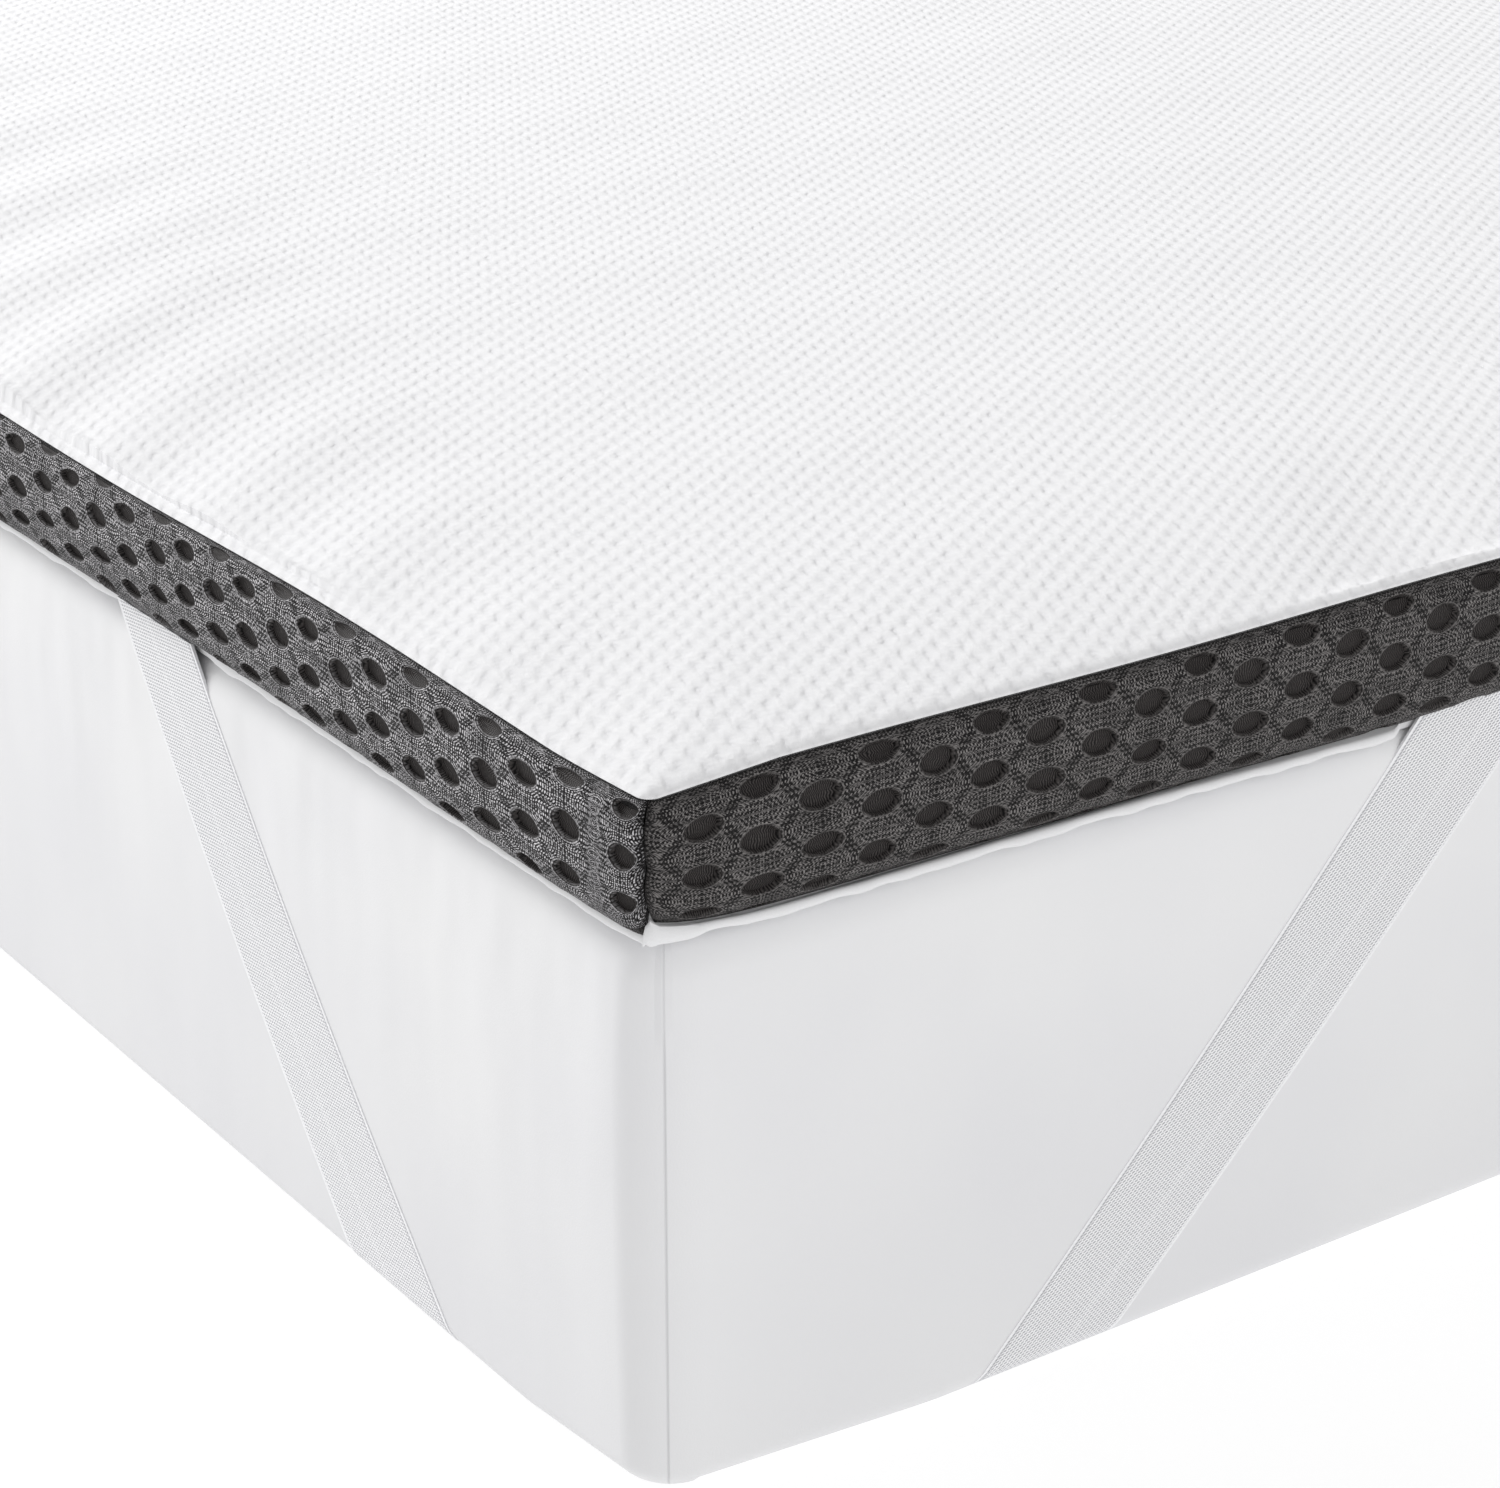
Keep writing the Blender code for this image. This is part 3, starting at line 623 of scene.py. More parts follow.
charcoal, charcoal_shader, start = new_cloth("charcoal_spacer_mesh", Roughness=0.50,
                                             Specular_IOR_Level=0.09)
lattice = start.cloth_place("lattice")
u, v, unused = lattice.parts()
pit, seam_shade, plain, painted_sheen = (
    start.node("ShaderNodeAttribute", {"attribute_name": name}, {}, output=2)
    for name in ("pit", "seam_shade", "plain", "painted_sheen"))
m = u.math("PINGPONG", u, 1.0)
n = v.math("PINGPONG", v, 1.0)


def room_past(at, half, other):
    """How much a hole takes of one direction, at a place from its middle in the other one."""
    inside = 1.0 - (at / half) ** 2.0
    return inside.math("MAXIMUM", inside, 0.0) ** 0.5 * other


def between_holes(here, at, half, other):
    """Share of the way from one hole to the next one, so that lines of it part round both."""
    first, last = room_past(at, half, other), room_past(1.0 - at, half, other)
    return (here - first) / (1.0 - first - last)


flow = between_holes(n, m, *HOLE_HALF)
spread = between_holes(m, n, *HOLE_HALF[::-1])
size_low = ((m / HOLE_HALF[0]) ** 2.0 + (n / HOLE_HALF[1]) ** 2.0) ** 0.5
size_high = (((1.0 - m) / HOLE_HALF[0]) ** 2.0 + ((1.0 - n) / HOLE_HALF[1]) ** 2.0) ** 0.5
size = m.math("MINIMUM", size_low, size_high)
grain = lattice.noise(17.0, 2.0, 0.7)
patch = lattice.noise(1.3, 2.0)
wobble = lattice.noise(2.6, 1.0)
wales = (spread * (2 * pi * STITCHES[0]) + wobble * 4.0).cosine()
courses = (flow * (2 * pi * STITCHES[1]) + wobble * 3.0).cosine()
# Painted sheen: on the long sides the threads get more contrast and more light yarn
checks = wales * (0.45 + courses * (0.75 - painted_sheen * 0.25))
tuft = lattice.noise(6.0, 1.0)
bright = checks + courses * (0.05 + painted_sheen * 0.25) + grain * 1.4 + tuft * 1.0 - 1.22
threads = (bright * (1.05 + painted_sheen * 0.75) + 0.40).clamp()
light_yarn = painted_sheen.mix(YARN_ENDS, YARN_PAINTED_SHEEN)
line_gap = m - (HOLE_HALF[0] + n * (1.0 - 2 * HOLE_HALF[0]))
spots = ((line_gap * (2 * pi * EYELETS[0])).cosine() + (n * (2 * pi * EYELETS[1])).cosine()) * 0.5
eyelets = ((spots + 0.25) * 3.0 * (1.2 - abs(line_gap) / EYELET_LINE)).clamp()
rim = size.near(*RIM)
strands = ((u * 25.0 + v * 1.7 + wobble * 5.0) * (2 * pi)).cosine() * 0.5 + 0.5
# Painted shade: on the long sides the lower rows, where the strip turns under, are darkened
under = 1.0 - ((v - 4.0) / 3.5).clamp() * painted_sheen * 0.55
lit = (threads * under * (0.30 - painted_sheen * 0.20 + patch * 1.4)).clamp()
face = lit.mix(MESH_GROUND, light_yarn)
face = (eyelets * 0.92).mix(face, MESH_SHADOW)
rim_shown = rim * (grain * 2.6 - 0.65 - painted_sheen * 0.2) * (1.0 - pit) * (1.0 - plain)
face = rim_shown.clamp().mix(face, light_yarn)
# Painted shade over the seams' own dark join: darker at the pinched corner seams, along the tucked
# top and bottom seams and on the back
face = (seam_shade ** 2.0 * 0.9).clamp().mix(face, (0.0060, 0.0056, 0.0056, 1.0))
# A hole's floor: the back's dark yarn and lighter strands, darkened further as painted shade by the
# pit's depth
hollow = (strands * grain * 1.7).clamp().mix(PIT_PAINTED_SHADE, PIT_YARN)
pit.mix(face, hollow).feed(charcoal_shader, "Base Color")
relief = (threads - eyelets * 0.6 + rim * 0.5) * (1.0 - pit) + strands * pit * 0.5
relief.bump(0.0004, 0.8).feed(charcoal_shader, "Normal")

for side in SIDES:
    # Flat strip, in columns and rows: columns of holes in pairs, plain ends, and a closed back
    long = side.long - 2 * CORNER + 2 * CORNER_ARC
    cut = CUTS[side.name]
    strip = hole_column("mesh_border_" + side.name, cut.odd)
    beside = hole_column("beside", not cut.odd)
    beside.location = (1.0, 0.0, 0.0)
    bpy.ops.object.transform_apply()
    select_only(beside, strip)
    bpy.ops.object.join()
    repeat(strip, (2.0, 0.0, 0.0), (cut.count + 1) // 2)
    if cut.count % 2:
        bpy.ops.object.mode_set(mode="EDIT")
        bpy.ops.mesh.select_mode(type="FACE")
        bpy.ops.mesh.select_all(action="DESELECT")
        bpy.ops.object.mode_set(mode="OBJECT")
        for face in strip.data.polygons:
            face.select = face.center.x > cut.count
        bpy.ops.object.mode_set(mode="EDIT")
        bpy.ops.mesh.delete(type="FACE")
        bpy.ops.object.mode_set(mode="OBJECT")
    # Where the columns' edges come along the strip
    edges = [(-cut.start / cut.column, SEAM_GAP)]
    if side.name == "left":
        edges.extend(((0.0, cut.start), (cut.count - 2, long - LAST_COLUMNS[0]),
                      (cut.count - 1, long - LAST_COLUMNS[1]), (cut.count, long - SEAM_GAP)))
        plain_ends = [plain_end(edges[0][0], 0.0)]
    else:
        last = cut.start + cut.count * cut.column
        edges.extend(((0.0, cut.start), (cut.count, last),
                      (cut.count + (long - last) / cut.column, long - SEAM_GAP)))
        plain_ends = [plain_end(edges[0][0], 0.0), plain_end(cut.count, edges[-1][0])]
    select_only(*plain_ends, strip)
    bpy.ops.object.join()
    bpy.ops.object.mode_set(mode="EDIT")
    bpy.ops.mesh.select_all(action="SELECT")
    bpy.ops.mesh.remove_doubles(threshold=NEARLY / 2)
    bpy.ops.object.mode_set(mode="OBJECT")
    front = len(strip.data.vertices)
    on_seam = [v.co.y < NEARLY or v.co.y > ROWS - NEARLY for v in strip.data.vertices]
    bpy.ops.object.mode_set(mode="EDIT")
    bpy.ops.mesh.select_mode(type="EDGE")
    bpy.ops.mesh.select_all(action="DESELECT")
    bpy.ops.object.mode_set(mode="OBJECT")
    for edge in strip.data.edges:
        low, high = edge.vertices
        level = abs(strip.data.vertices[low].co.y - strip.data.vertices[high].co.y) < NEARLY
        edge.select = on_seam[low] and on_seam[high] and level
    bpy.ops.object.mode_set(mode="EDIT")
    bpy.ops.mesh.bridge_edge_loops(number_cuts=BACK_CUTS)
    bpy.ops.mesh.select_all(action="SELECT")
    bpy.ops.mesh.fill_holes(sides=0)
    bpy.ops.object.mode_set(mode="OBJECT")

    # The same strip in its place
    columns_at, metres_at = zip(*edges)
    points, flat, pits, plains, seam_shades = [], [], [], [], []
    for index, vertex in enumerate(strip.data.vertices):
        column, row, depth = vertex.co
        x = float(np.interp(column, columns_at, metres_at))
        flat.append((column - 0.5, row - 1.0 + cut.odd))
        holed = 0.0 < column < cut.count and int(column) not in cut.shut
        plains.append(1.0 - holed)
        # How much painted seam shade a point gets: near the corners, and all of it on the back and
        # the seam rows
        seam_shades.append(max(0.0, 1.0 - min(x, long - x) / SEAM_SETTLES,
                         float(index >= front or on_seam[index])))
        if index < front:
            if side.name == "left" and row < TOP_HOLES[0] and column < cut.count - 1:
                depth *= TOP_HOLES[1]
            points.append(mesh_place(side, cut, long, x, row, depth * holed))
            pits.append(min(1.0, max(0.0, depth / PIT_EDGE)) * holed)
        else:
            out, up = smooth_curve(BORDER_INSIDE, row / ROWS)
            along = x + CORNER - CORNER_ARC
            points.append(edge_point(side, along, out, up, drawn_up(side, along) * (1.0 - up)))
            pits.append(0.0)
    set_points(strip, points)
    set_uv(strip, "lattice", flat)
    # On the long sides the yarn is painted lighter and streakier, as a painted sheen
    painted_sheen_marks = [float(side.out[0] != 0)] * len(points)
    for name, marks in (("pit", pits), ("seam_shade", seam_shades), ("plain", plains), ("painted_sheen", painted_sheen_marks)):
        strip.data.attributes.new(name, "FLOAT", "POINT").data.foreach_set("value", marks)
    face_outwards(strip, 65)
    strip.data.materials.append(charcoal)
    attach(strip, "root")
    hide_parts("border_strip_" + side.name)


# --- mattress in its cover ---------------------------------------------------------------------
# A plain foam mattress in a smooth white cover, with rounded edges and slightly swelling sides.
# Its cover is sewn in an upright seam at each corner.

MATTRESS_HIGH = 0.229
MATTRESS_IN = 0.006         # how far it stands in from the topper's edge
MATTRESS_CORNER = 0.028
MATTRESS_BULGE = 0.002
EDGE_LOW = 0.010
EDGE_TOP = 0.016
CORNER_LIFT = 0.009         # how far its bottom edge is lifted at the corners
LIFT_ENDS = 0.135           # that lift fades out this far from the corner, at foot and head,
LIFT_SIDES = 0.095          # and on the long sides
LIFT_HIGH = 0.114           # and this far up
UNDER_IN = 1.2              # the flat underside draws in by this many times the lift
SIDE_GRID = 0.011
EDGE_STEPS = 7
TURN_LONG = MATTRESS_CORNER * pi / 2
HALF_ROUND = WIDE + LONG - 4 * MATTRESS_CORNER + 2 * TURN_LONG
SEAM_BEFORE = 0.0175        # the cover's corner seam lies this far before the end of the turn
COVER_DIM = (0.785, 0.785, 0.805, 1.0)
COVER_WHITE = (0.855, 0.855, 0.858, 1.0)
COVER_PAINTED_SHADE = (0.700, 0.700, 0.715, 1.0)      # painted shade, strongest near the floor, and up to here
COVER_SHADE_HIGH = 0.17                       # and up to here
COVER_STITCH = (0.42, 0.42, 0.44, 1.0)
STITCH_HALF = 0.0008
GATHER_HALF = 0.0040        # the seam's cloth stands up a little beside it,
GATHER_FROM = (0.190, 0.012)        # from this height, over this length
COVER_FALLS = (17.0, 6.0, 1.0)      # wrinkles a metre, round it and up it


def mattress_out(z):
    """Place of the mattress's side at a height, measured from the topper's outline."""
    return -MATTRESS_IN + MATTRESS_BULGE * sin(pi * z / MATTRESS_HIGH)


def perimeter(radius, spacing, arc_steps):
    """Places all round, as a side and a distance along it, closer round the corners."""
    places = []
    for side in SIDES:
        run = side.long - 2 * radius
        count = round(run / spacing)
        places.extend((side, radius + run * k / count) for k in range(count + 1))
        places.extend((side, side.long - radius + radius * pi / 2 * k / arc_steps)
                      for k in range(1, arc_steps))
    return places


def stacked_rings(name, around, levels):
    """A closed stack of rings, whose points wait at z = level and at their turn round the ring."""
    select_only()
    bpy.ops.mesh.primitive_circle_add(vertices=around, radius=1.0, fill_type="NGON")
    made = new_piece(name)
    bpy.ops.object.mode_set(mode="EDIT")
    bpy.ops.mesh.select_mode(type="FACE")
    bpy.ops.mesh.select_all(action="SELECT")
    for level in range(1, levels):
        bpy.ops.mesh.extrude_region_move(TRANSFORM_OT_translate={"value": (0.0, 0.0, 1.0)})
    bpy.ops.object.mode_set(mode="OBJECT")
    order = []
    for vertex in made.data.vertices:
        # The circle's first point is at +Y, a quarter turn round
        turn = (np.arctan2(vertex.co.y, vertex.co.x) / (2 * pi) - 0.25) * around
        order.append((int(round(turn)) % around, int(round(vertex.co.z))))
    return made, order


def close_base(piece):
    """Close the open base of a stack of rings, and finish its faces."""
    bpy.ops.object.mode_set(mode="EDIT")
    bpy.ops.mesh.select_all(action="SELECT")
    bpy.ops.mesh.fill_holes(sides=0)
    bpy.ops.object.mode_set(mode="OBJECT")
    face_outwards(piece, 50)


def mattress_section():
    """Outline of the side, from the underside up to the top: out and height."""
    section = []
    low = mattress_out(EDGE_LOW) - EDGE_LOW
    for k in range(EDGE_STEPS):
        turn = pi / 2 * (1 - k / EDGE_STEPS)
        section.append((low + EDGE_LOW * cos(turn), EDGE_LOW * (1.0 - sin(turn))))
    level = MATTRESS_HIGH - EDGE_TOP
    count = round((level - EDGE_LOW) / SIDE_GRID)
    for k in range(count + 1):
        z = EDGE_LOW + (level - EDGE_LOW) * k / count
        section.append((mattress_out(z), z))
    high = mattress_out(level) - EDGE_TOP
    for k in range(1, EDGE_STEPS + 1):
        turn = pi / 2 * k / EDGE_STEPS
        section.append((high + EDGE_TOP * cos(turn), level + EDGE_TOP * sin(turn)))
    return section


section = mattress_section()
around = perimeter(MATTRESS_CORNER, SIDE_GRID, 12)
mattress, order = stacked_rings("covered_mattress", len(around), len(section))
points, flat = [], []
for turn, level in order:
    side, along = around[turn]
    out, z = section[level]
    reach = LIFT_ENDS if side.out[1] else LIFT_SIDES
    away = max(MATTRESS_CORNER, min(along, side.long - along))
    lift = CORNER_LIFT * max(0.0, 1.0 - away / reach)
    if level == 0:
        out -= UNDER_IN * lift
    else:
        z += lift * max(0.0, 1.0 - z / LIFT_HIGH)
    points.append((*spot(side, along, out, MATTRESS_CORNER), z))
    # The cover's map runs on from side to side, starting from the corner at the head, right
    passed = sum(SIDES[k % 4].long - 2 * MATTRESS_CORNER + TURN_LONG
                 for k in range(2, 2 + (SIDES.index(side) + 2) % 4))
    flat.append((passed + along - MATTRESS_CORNER, z - out))
set_points(mattress, points)
set_uv(mattress, "cloth", flat)
cover_map = mattress.data.uv_layers["cloth"].data
for face in mattress.data.polygons:
    if max(cover_map[k].uv.x for k in face.loop_indices) > 2 * HALF_ROUND - SIDE_GRID:
        for k in face.loop_indices:
            if cover_map[k].uv.x < SIDE_GRID:
                cover_map[k].uv.x += 2 * HALF_ROUND
close_base(mattress)

cover, cover_shader, start = new_cloth("white_mattress_cover", Roughness=0.82,
                                       Specular_IOR_Level=0.3, Sheen_Weight=0.1)
broad = start.place().noise(7.0, 2.0)
weave = start.place().noise(1400.0, 2.0)
cover_place = start.cloth_place("cloth")
round_it, height, unused = cover_place.parts()
# Both halves of the way round are alike: a short side, a seam, a long side and a seam
turned = round_it.math("MODULO", round_it, HALF_ROUND)
past_first = turned - (WIDE - 2 * MATTRESS_CORNER + TURN_LONG - SEAM_BEFORE)
past_second = turned - (HALF_ROUND - SEAM_BEFORE)
to_seam = turned.math("MINIMUM", abs(past_first), abs(past_second))
stitched = (1.0 - to_seam / STITCH_HALF).clamp()
gathered = ((1.0 - to_seam / GATHER_HALF).clamp()
            * ((height - GATHER_FROM[0]) / GATHER_FROM[1]).clamp())
cloth = (broad * 1.8 + weave * 0.2 - 0.50).clamp().mix(COVER_DIM, COVER_WHITE)
# Painted shade: the cover is darkened towards the floor
cloth = ((1.0 - height / COVER_SHADE_HIGH).clamp() * 0.5).mix(cloth, COVER_PAINTED_SHADE)
(stitched * 0.30).mix(cloth, COVER_STITCH).feed(cover_shader, "Base Color")
fine = weave.bump(0.0001, 0.5)
falls = start.node("ShaderNodeVectorMath", {"operation": "MULTIPLY"},
                   {0: cover_place, 1: COVER_FALLS}).noise(1.0, 2.0)
near_lip = ((height - 0.10) / 0.11).clamp() * 0.8 + 0.25
wrinkled = (falls * near_lip).bump(0.0080, 0.40, fine)
(gathered - stitched * 0.4).bump(0.0010, 0.8, wrinkled).feed(cover_shader, "Normal")
mattress.data.materials.append(cover)
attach(mattress, "root")
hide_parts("mattress")


# --- bottom panel ------------------------------------------------------------------------------
# Plain white cloth under the pad. Its edge is sewn into the border's lower seam and stands out
# below it as a narrow puckered lip, held back where the corner straps pass.

PANEL_LOW = 0.2293
PANEL_THICK = 0.0016
LIP_START = -0.0096         # the flat of the panel ends here
# How far the lip reaches out, and how far it hangs: round a corner, along each side, and where a
# strap holds it back
Lip = namedtuple("Lip", "reach hang")
LIP_CORNER = Lip(-0.0030, 0.0047)
LIPS = {"foot": Lip(-0.0034, 0.0004), "right": Lip(-0.0034, 0.0014), "head": Lip(-0.0032, 0.0014),
        "left": Lip(-0.0074, 0.0001)}
LIP_PINNED = Lip(-0.0088, 0.0)
# Length over which a side's lip takes over from the corner's
LIP_FADES = {"foot": 0.030, "right": 0.016, "head": 0.030, "left": 0.0095}
PINNED_SPARE = 0.007
PUCKER = 0.0005             # how far the pull of the seam moves it in and out
PUCKER_HANG = 0.0009        # and up and down
# Two trains of puckers: share, radians a metre of the fine waves and of the broad ones that they
# swell and fade by, and how far a side's crest moves each
PUCKER_WAVES = ((0.6, 134.0, 21.0, 0.0, 9.0), (0.4, 310.0, 47.0, 5.0, 0.0))
LIP_GRID = 0.004
PANEL_DIM = (0.77, 0.77, 0.78, 1.0)
PANEL_WHITE = (0.83, 0.83, 0.84, 1.0)

# One strap a corner, between the side that ends there and the side that starts there. Each leg's
# middle line is this far from the corner at the mattress's top and at the floor, and the elastic
# is this wide there.
Leg = namedtuple("Leg", "side top low wide_top wide_low")
Strap = namedtuple("Strap", "name before after")
STRAPS = (
    Strap("foot_left", Leg(3, 0.372, 0.1835, 0.052, 0.062), Leg(0, 0.402, 0.183, 0.054, 0.049)),
    Strap("foot_right", Leg(0, 0.385, 0.182, 0.052, 0.050), Leg(1, 0.372, 0.184, 0.052, 0.055)),
    Strap("head_right", Leg(1, 0.379, 0.186, 0.051, 0.056), Leg(2, 0.392, 0.181, 0.053, 0.050)),
    Strap("head_left", Leg(2, 0.376, 0.183, 0.052, 0.051), Leg(3, 0.388, 0.184, 0.050, 0.053)),
)


def slope(leg):
    """Sideways run of a strap's leg for each metre of drop."""
    return (leg.top - leg.low) / MATTRESS_HIGH


def half_wide(leg, z):
    """Half the leg's width at a height, measured level."""
    wide = leg.wide_low + (leg.wide_top - leg.wide_low) * z / MATTRESS_HIGH
    return wide / 2 * hypot(1.0, slope(leg))


held_back = {side.name: [] for side in SIDES}
for strap in STRAPS:
    for leg, ends_here in ((strap.before, True), (strap.after, False)):
        side = SIDES[leg.side]
        middle = leg.low + slope(leg) * PANEL_LOW
        held_back[side.name].append((side.long - middle if ends_here else middle,
                                     half_wide(leg, PANEL_LOW)))


def own_side(side, along):
    """The side that a place round a corner belongs to, and its distance along that side."""
    past = along - (side.long - CORNER + CORNER_ARC)
    if past > 0:
        return SIDES[(SIDES.index(side) + 1) % 4], CORNER - CORNER_ARC + past
    return side, along


def lip_reach(side, along):
    """How far out the lip reaches, and how far it hangs there."""
    uneven = sum(share * sin(along * fine + side.crest * moved)
                 * sin(along * broad + side.crest * swelled)
                 for share, fine, broad, moved, swelled in PUCKER_WAVES)
    away = min(along, side.long - along) - (CORNER - CORNER_ARC)
    fade = max(0.0, min(1.0, away / LIP_FADES[side.name]))
    uneven *= fade
    free = 1.0
    for middle, half in held_back[side.name]:
        free = min(free, max(0.0, (abs(along - middle) - half - PINNED_SPARE) / PINNED_SPARE))
    reach, hang = (corner + (plain - corner) * fade
                   for corner, plain in zip(LIP_CORNER, LIPS[side.name]))
    reach = LIP_PINNED.reach + (reach + PUCKER * uneven - LIP_PINNED.reach) * free
    return reach, max(0.0, hang + PUCKER_HANG * uneven) * free


# Lines of the lip from the flat's upper face out over its rolled edge and back: share of the
# reach and of the hang, and height over the panel's underside in its thickness
LIP_LINES = ((0.0, 0.0, 1.0), (0.30, 0.0, 1.50), (0.60, 0.0, 1.95), (0.84, 0.06, 2.05),
             (0.96, 0.28, 1.70), (1.0, 0.64, 1.05), (0.98, 0.94, 0.45), (0.88, 1.0, 0.10),
             (0.72, 0.72, 0.0), (0.50, 0.30, 0.0), (0.0, 0.0, 0.0))
around = perimeter(CORNER, LIP_GRID, 5)
panel, order = stacked_rings("plain_bottom_panel", len(around), len(LIP_LINES))
points = []
for turn, level in order:
    side, along = around[turn]
    share, fall, high = LIP_LINES[level]
    reach, hang = lip_reach(*own_side(side, along))
    out = LIP_START + (reach + sway(side, along) - LIP_START) * share
    lifted = drawn_up(*own_side(side, along)) * min(1.0, share / 0.6)
    points.append((*spot(side, along, out),
                   PANEL_LOW + PANEL_THICK * high - hang * fall + lifted))
set_points(panel, points)
close_base(panel)

backing, backing_shader, start = new_cloth("white_backing_cloth", Roughness=0.8,
                                           Specular_IOR_Level=0.3)
weave = start.place().noise(1500.0, 2.0)
weave.mix(PANEL_DIM, PANEL_WHITE).feed(backing_shader, "Base Color")
weave.bump(0.0002, 0.5).feed(backing_shader, "Normal")
panel.data.materials.append(backing)
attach(panel, "root")
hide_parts("bottom_panel")


# --- corner straps -----------------------------------------------------------------------------
# Woven white elastic, 50 mm wide, sewn into the lower seam on both sides of a corner and pulled
# slantwise down the mattress and under it. It narrows a little where it is stretched most.

STRAP_WIDE = 0.050
STRAP_THICK = 0.0012
STRAP_OFF = 0.0004          # how far it lies off the mattress's side
STRAP_END = (-0.0062, SEAM_LOW + 0.0020)    # its sewn end: how far out, and height
SEWN_LONG = 0.022           # it comes to lie on the mattress this far below that end
# Its distance from the middle of the mattress's lower rounding, by degrees of the turn under it
EDGE_REACH = ((0, 0.0104), (30, 0.0104), (60, 0.0094), (90, 0.0085))
STRAP_ACROSS = 12           # faces across it,
STRAP_UNDER = 20            # and along its part under the mattress
STRAP_STEP = 0.006
RIB = 0.0017                # the weave's steps along the elastic and across it
CORD = 0.0014
RIB_SLANT = 700.0           # radians a metre across, by which the ribs run slantwise
SELVEDGE = (0.0234, 0.0006)         # from its middle line: where it starts, and its fading
SHADOW_LINE = (0.0018, 0.0007)        # a painted shadow line: from the corner side's edge, and half its width
SMOOTH_CORD = (0.0300, 0.0014)      # a smoother cord, the same
ELASTIC_DIM = (0.430, 0.430, 0.460, 1.0)
ELASTIC_WHITE = (0.975, 0.975, 0.990, 1.0)


def strap_lines(leg):
    """Stations down one leg of a strap: how far out its inner face lies, height, and its middle."""
    lines = [(*STRAP_END, leg.low + slope(leg) * STRAP_END[1])]
    highest = STRAP_END[1] - SEWN_LONG
    count = round((highest - EDGE_LOW) / STRAP_STEP)
    for k in range(count):
        z = highest + (EDGE_LOW - highest) * k / count
        lines.append((mattress_out(z) + STRAP_OFF, z, leg.low + slope(leg) * z))
    centre = mattress_out(EDGE_LOW) - EDGE_LOW
    turned, reaches = zip(*EDGE_REACH)
    for degrees in range(0, 91, 10):
        reach = float(np.interp(degrees, turned, reaches))
        turn = radians(degrees)
        lines.append((centre + reach * cos(turn), EDGE_LOW - reach * sin(turn),
                      leg.low + slope(leg) * EDGE_LOW * (1.0 - turn)))
    return lines


def strap_points(leg, ends_here):
    """Points across a leg at each of its stations, from the corner's side outwards."""
    side = SIDES[leg.side]
    found = []
    for out, z, middle in strap_lines(leg):
        line = []
        for k in range(STRAP_ACROSS + 1):
            shift = half_wide(leg, max(0.0, z)) * (2 * k / STRAP_ACROSS - 1)
            along = side.long - (middle + shift) if ends_here else middle + shift
            line.append(Vector((*spot(side, along, out), z)))
        found.append(line)
    return found


elastic, elastic_shader, start = new_cloth("white_woven_elastic", Roughness=0.6,
                                           Specular_IOR_Level=0.4, Sheen_Weight=0.1)
band = start.cloth_place("band")
u, v, unused = band.parts()
ribs = (u * (2 * pi / RIB) + v * RIB_SLANT).cosine() * 0.5 + 0.5
cords = (v * (2 * pi / CORD)).cosine() * 0.5 + 0.5
speck = band.noise(700.0, 2.0)
selvedge = ((abs(v - STRAP_WIDE / 2) - SELVEDGE[0]) / SELVEDGE[1]).clamp()
painted_shadow_line = v.near(*SHADOW_LINE)
smooth_cord = v.near(*SMOOTH_CORD)
dots = 1.0 - (ribs * cords * 2.6 - 0.25).clamp() * (1.0 - selvedge) * (1.0 - smooth_cord * 0.25)
# Painted shadow: a dark line near the corner side's edge
woven = (dots * 0.90 + speck * 0.5 - 0.14 - painted_shadow_line * 0.7 - selvedge * 0.15).clamp()
woven.mix(ELASTIC_DIM, ELASTIC_WHITE).feed(elastic_shader, "Base Color")
(dots + selvedge * 0.1).bump(0.0004, 0.8).feed(elastic_shader, "Normal")

for strap in STRAPS:
    down = strap_points(strap.after, False)
    up = strap_points(strap.before, True)
    under = [[a + (b - a) * (k / STRAP_UNDER) for a, b in zip(down[-1], up[-1])]
             for k in range(1, STRAP_UNDER)]
    lines = down + under + up[::-1]
    select_only()
    bpy.ops.mesh.primitive_grid_add(x_subdivisions=STRAP_ACROSS, y_subdivisions=len(lines) - 1,
                                    size=2.0)
    piece = new_piece("corner_elastic_" + strap.name)
    lengths = [0.0]
    for a, b in zip(lines, lines[1:]):
        lengths.append(lengths[-1] + (b[STRAP_ACROSS // 2] - a[STRAP_ACROSS // 2]).length)
    points, flat = [], []
    for vertex in piece.data.vertices:
        i = round((vertex.co.x + 1) / 2 * STRAP_ACROSS)
        j = round((vertex.co.y + 1) / 2 * (len(lines) - 1))
        points.append(lines[j][i])
        flat.append((lengths[j], STRAP_WIDE * i / STRAP_ACROSS))
    set_points(piece, points)
    set_uv(piece, "band", flat)
    thick = piece.modifiers.new("thickness", "SOLIDIFY")
    thick.thickness = STRAP_THICK
    thick.offset = 1.0
    bpy.ops.object.modifier_apply(modifier="thickness")
    face_outwards(piece, 40)
    piece.data.materials.append(elastic)
    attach(piece, "root")
    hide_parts("corner_strap_" + strap.name)


# --- floor, light and camera -------------------------------------------------------------------
# A pale floor, an even white sky, one broad soft light from the head, and a weak one from the foot
# that keeps the near side clear. The camera stands where the photograph was taken from.

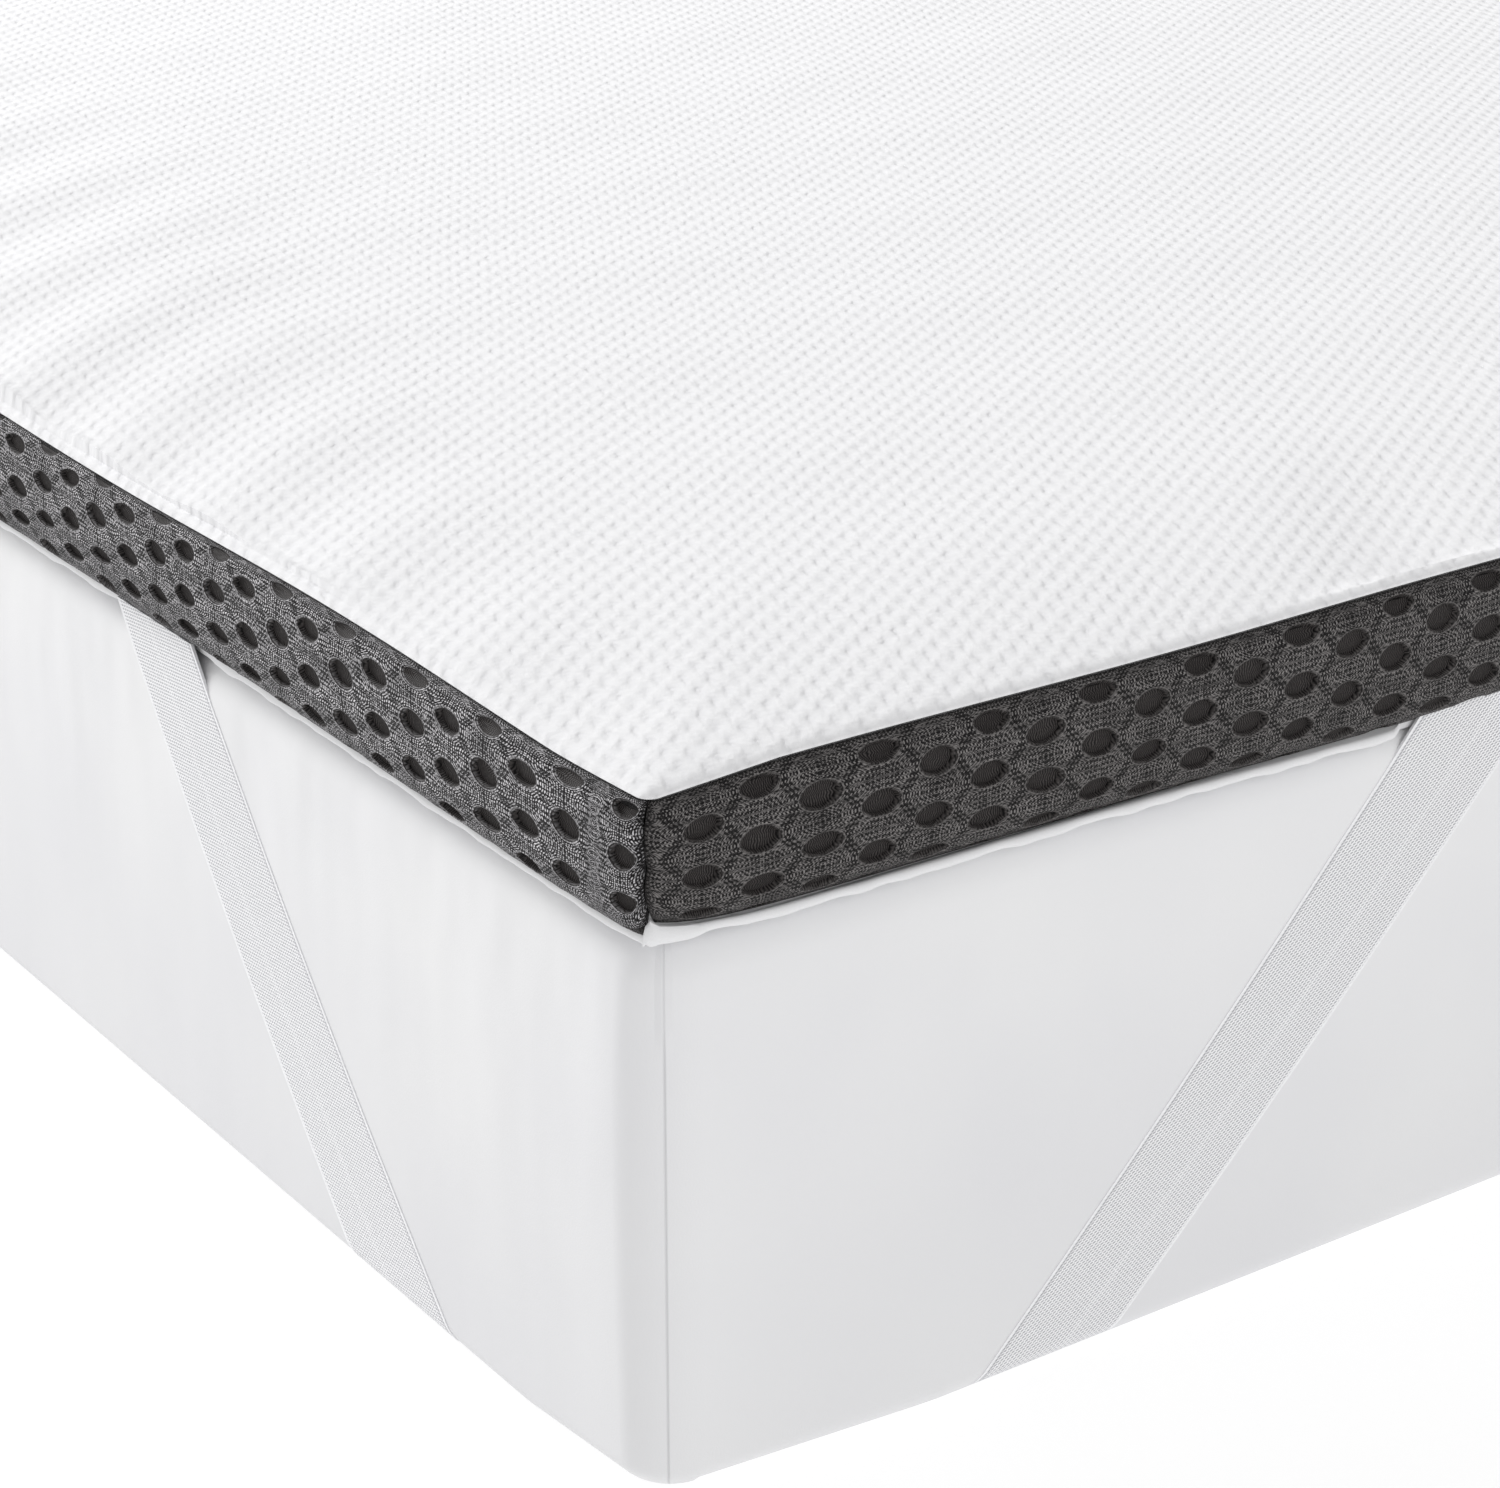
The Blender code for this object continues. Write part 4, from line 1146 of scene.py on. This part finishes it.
select_only()
bpy.ops.mesh.primitive_plane_add(size=14.0)
floor_plane = new_piece("floor")
pale, pale_shader, start = new_cloth("pale_floor", Roughness=0.9, Specular_IOR_Level=0.1,
                                     Emission_Color=(1.0, 1.0, 1.0, 1.0), Emission_Strength=0.74)
shade = start.place().noise(3.0, 2.0)
shade.mix((0.35, 0.35, 0.35, 1.0), (0.37, 0.37, 0.37, 1.0)).feed(pale_shader, "Base Color")
floor_plane.data.materials.append(pale)

world = bpy.data.worlds.new("studio")
bpy.context.scene.world = world
world.use_nodes = True
sky = world.node_tree.nodes["Background"]
sky.inputs["Color"].default_value = (1.0, 1.0, 1.0, 1.0)
sky.inputs["Strength"].default_value = 0.58


def soft_light(name, aim, away, reach, size, power):
    """A square area light, a reach away from the point it is turned to."""
    lamp = bpy.data.lights.new(name, "AREA")
    lamp.shape = "SQUARE"
    lamp.size = size
    lamp.energy = power
    made = bpy.data.objects.new(name, lamp)
    bpy.context.collection.objects.link(made)
    made.location = Vector(aim) + Vector(away).normalized() * reach
    made.rotation_euler = Vector(away).to_track_quat("Z", "Y").to_euler()


soft_light("window_light", aim=(-0.3, -0.5, 0.3), away=(-0.26, 0.80, 0.52), reach=7.0,
           size=2.1, power=390.0)
soft_light("fill_light", aim=(-0.3, -0.9, 0.2), away=(0.25, -0.85, 0.45), reach=3.0,
           size=2.0, power=16.0)

# The camera stands so that the corner's top seam is where the photograph has it
PICTURE = (1500, 1488)
LENS = 90.2
SENSOR = 36.0
TURNED = radians(-34.92)
TIPPED = radians(23.05)
SEAM_CORNER = Vector((-0.6914, -0.9414, 0.2847))
SEAM_PIXEL = (648, 800)
DISTANCE = 1.2533
back = Vector((sin(TURNED) * cos(TIPPED), -cos(TURNED) * cos(TIPPED), sin(TIPPED)))
right = Vector((cos(TURNED), sin(TURNED), 0.0))
upward = back.cross(right)
pixel = SENSOR / LENS / PICTURE[0] * DISTANCE
camera_data = bpy.data.cameras.new("camera")
camera_data.lens = LENS
camera_data.sensor_width = SENSOR
camera = bpy.data.objects.new("camera", camera_data)
bpy.context.collection.objects.link(camera)
camera.location = (SEAM_CORNER + back * DISTANCE
                   - right * pixel * (SEAM_PIXEL[0] - PICTURE[0] / 2)
                   + upward * pixel * (SEAM_PIXEL[1] - PICTURE[1] / 2))
camera.rotation_euler = back.to_track_quat("Z", "Y").to_euler()
bpy.context.scene.camera = camera
bpy.context.scene.view_settings.view_transform = "Standard"
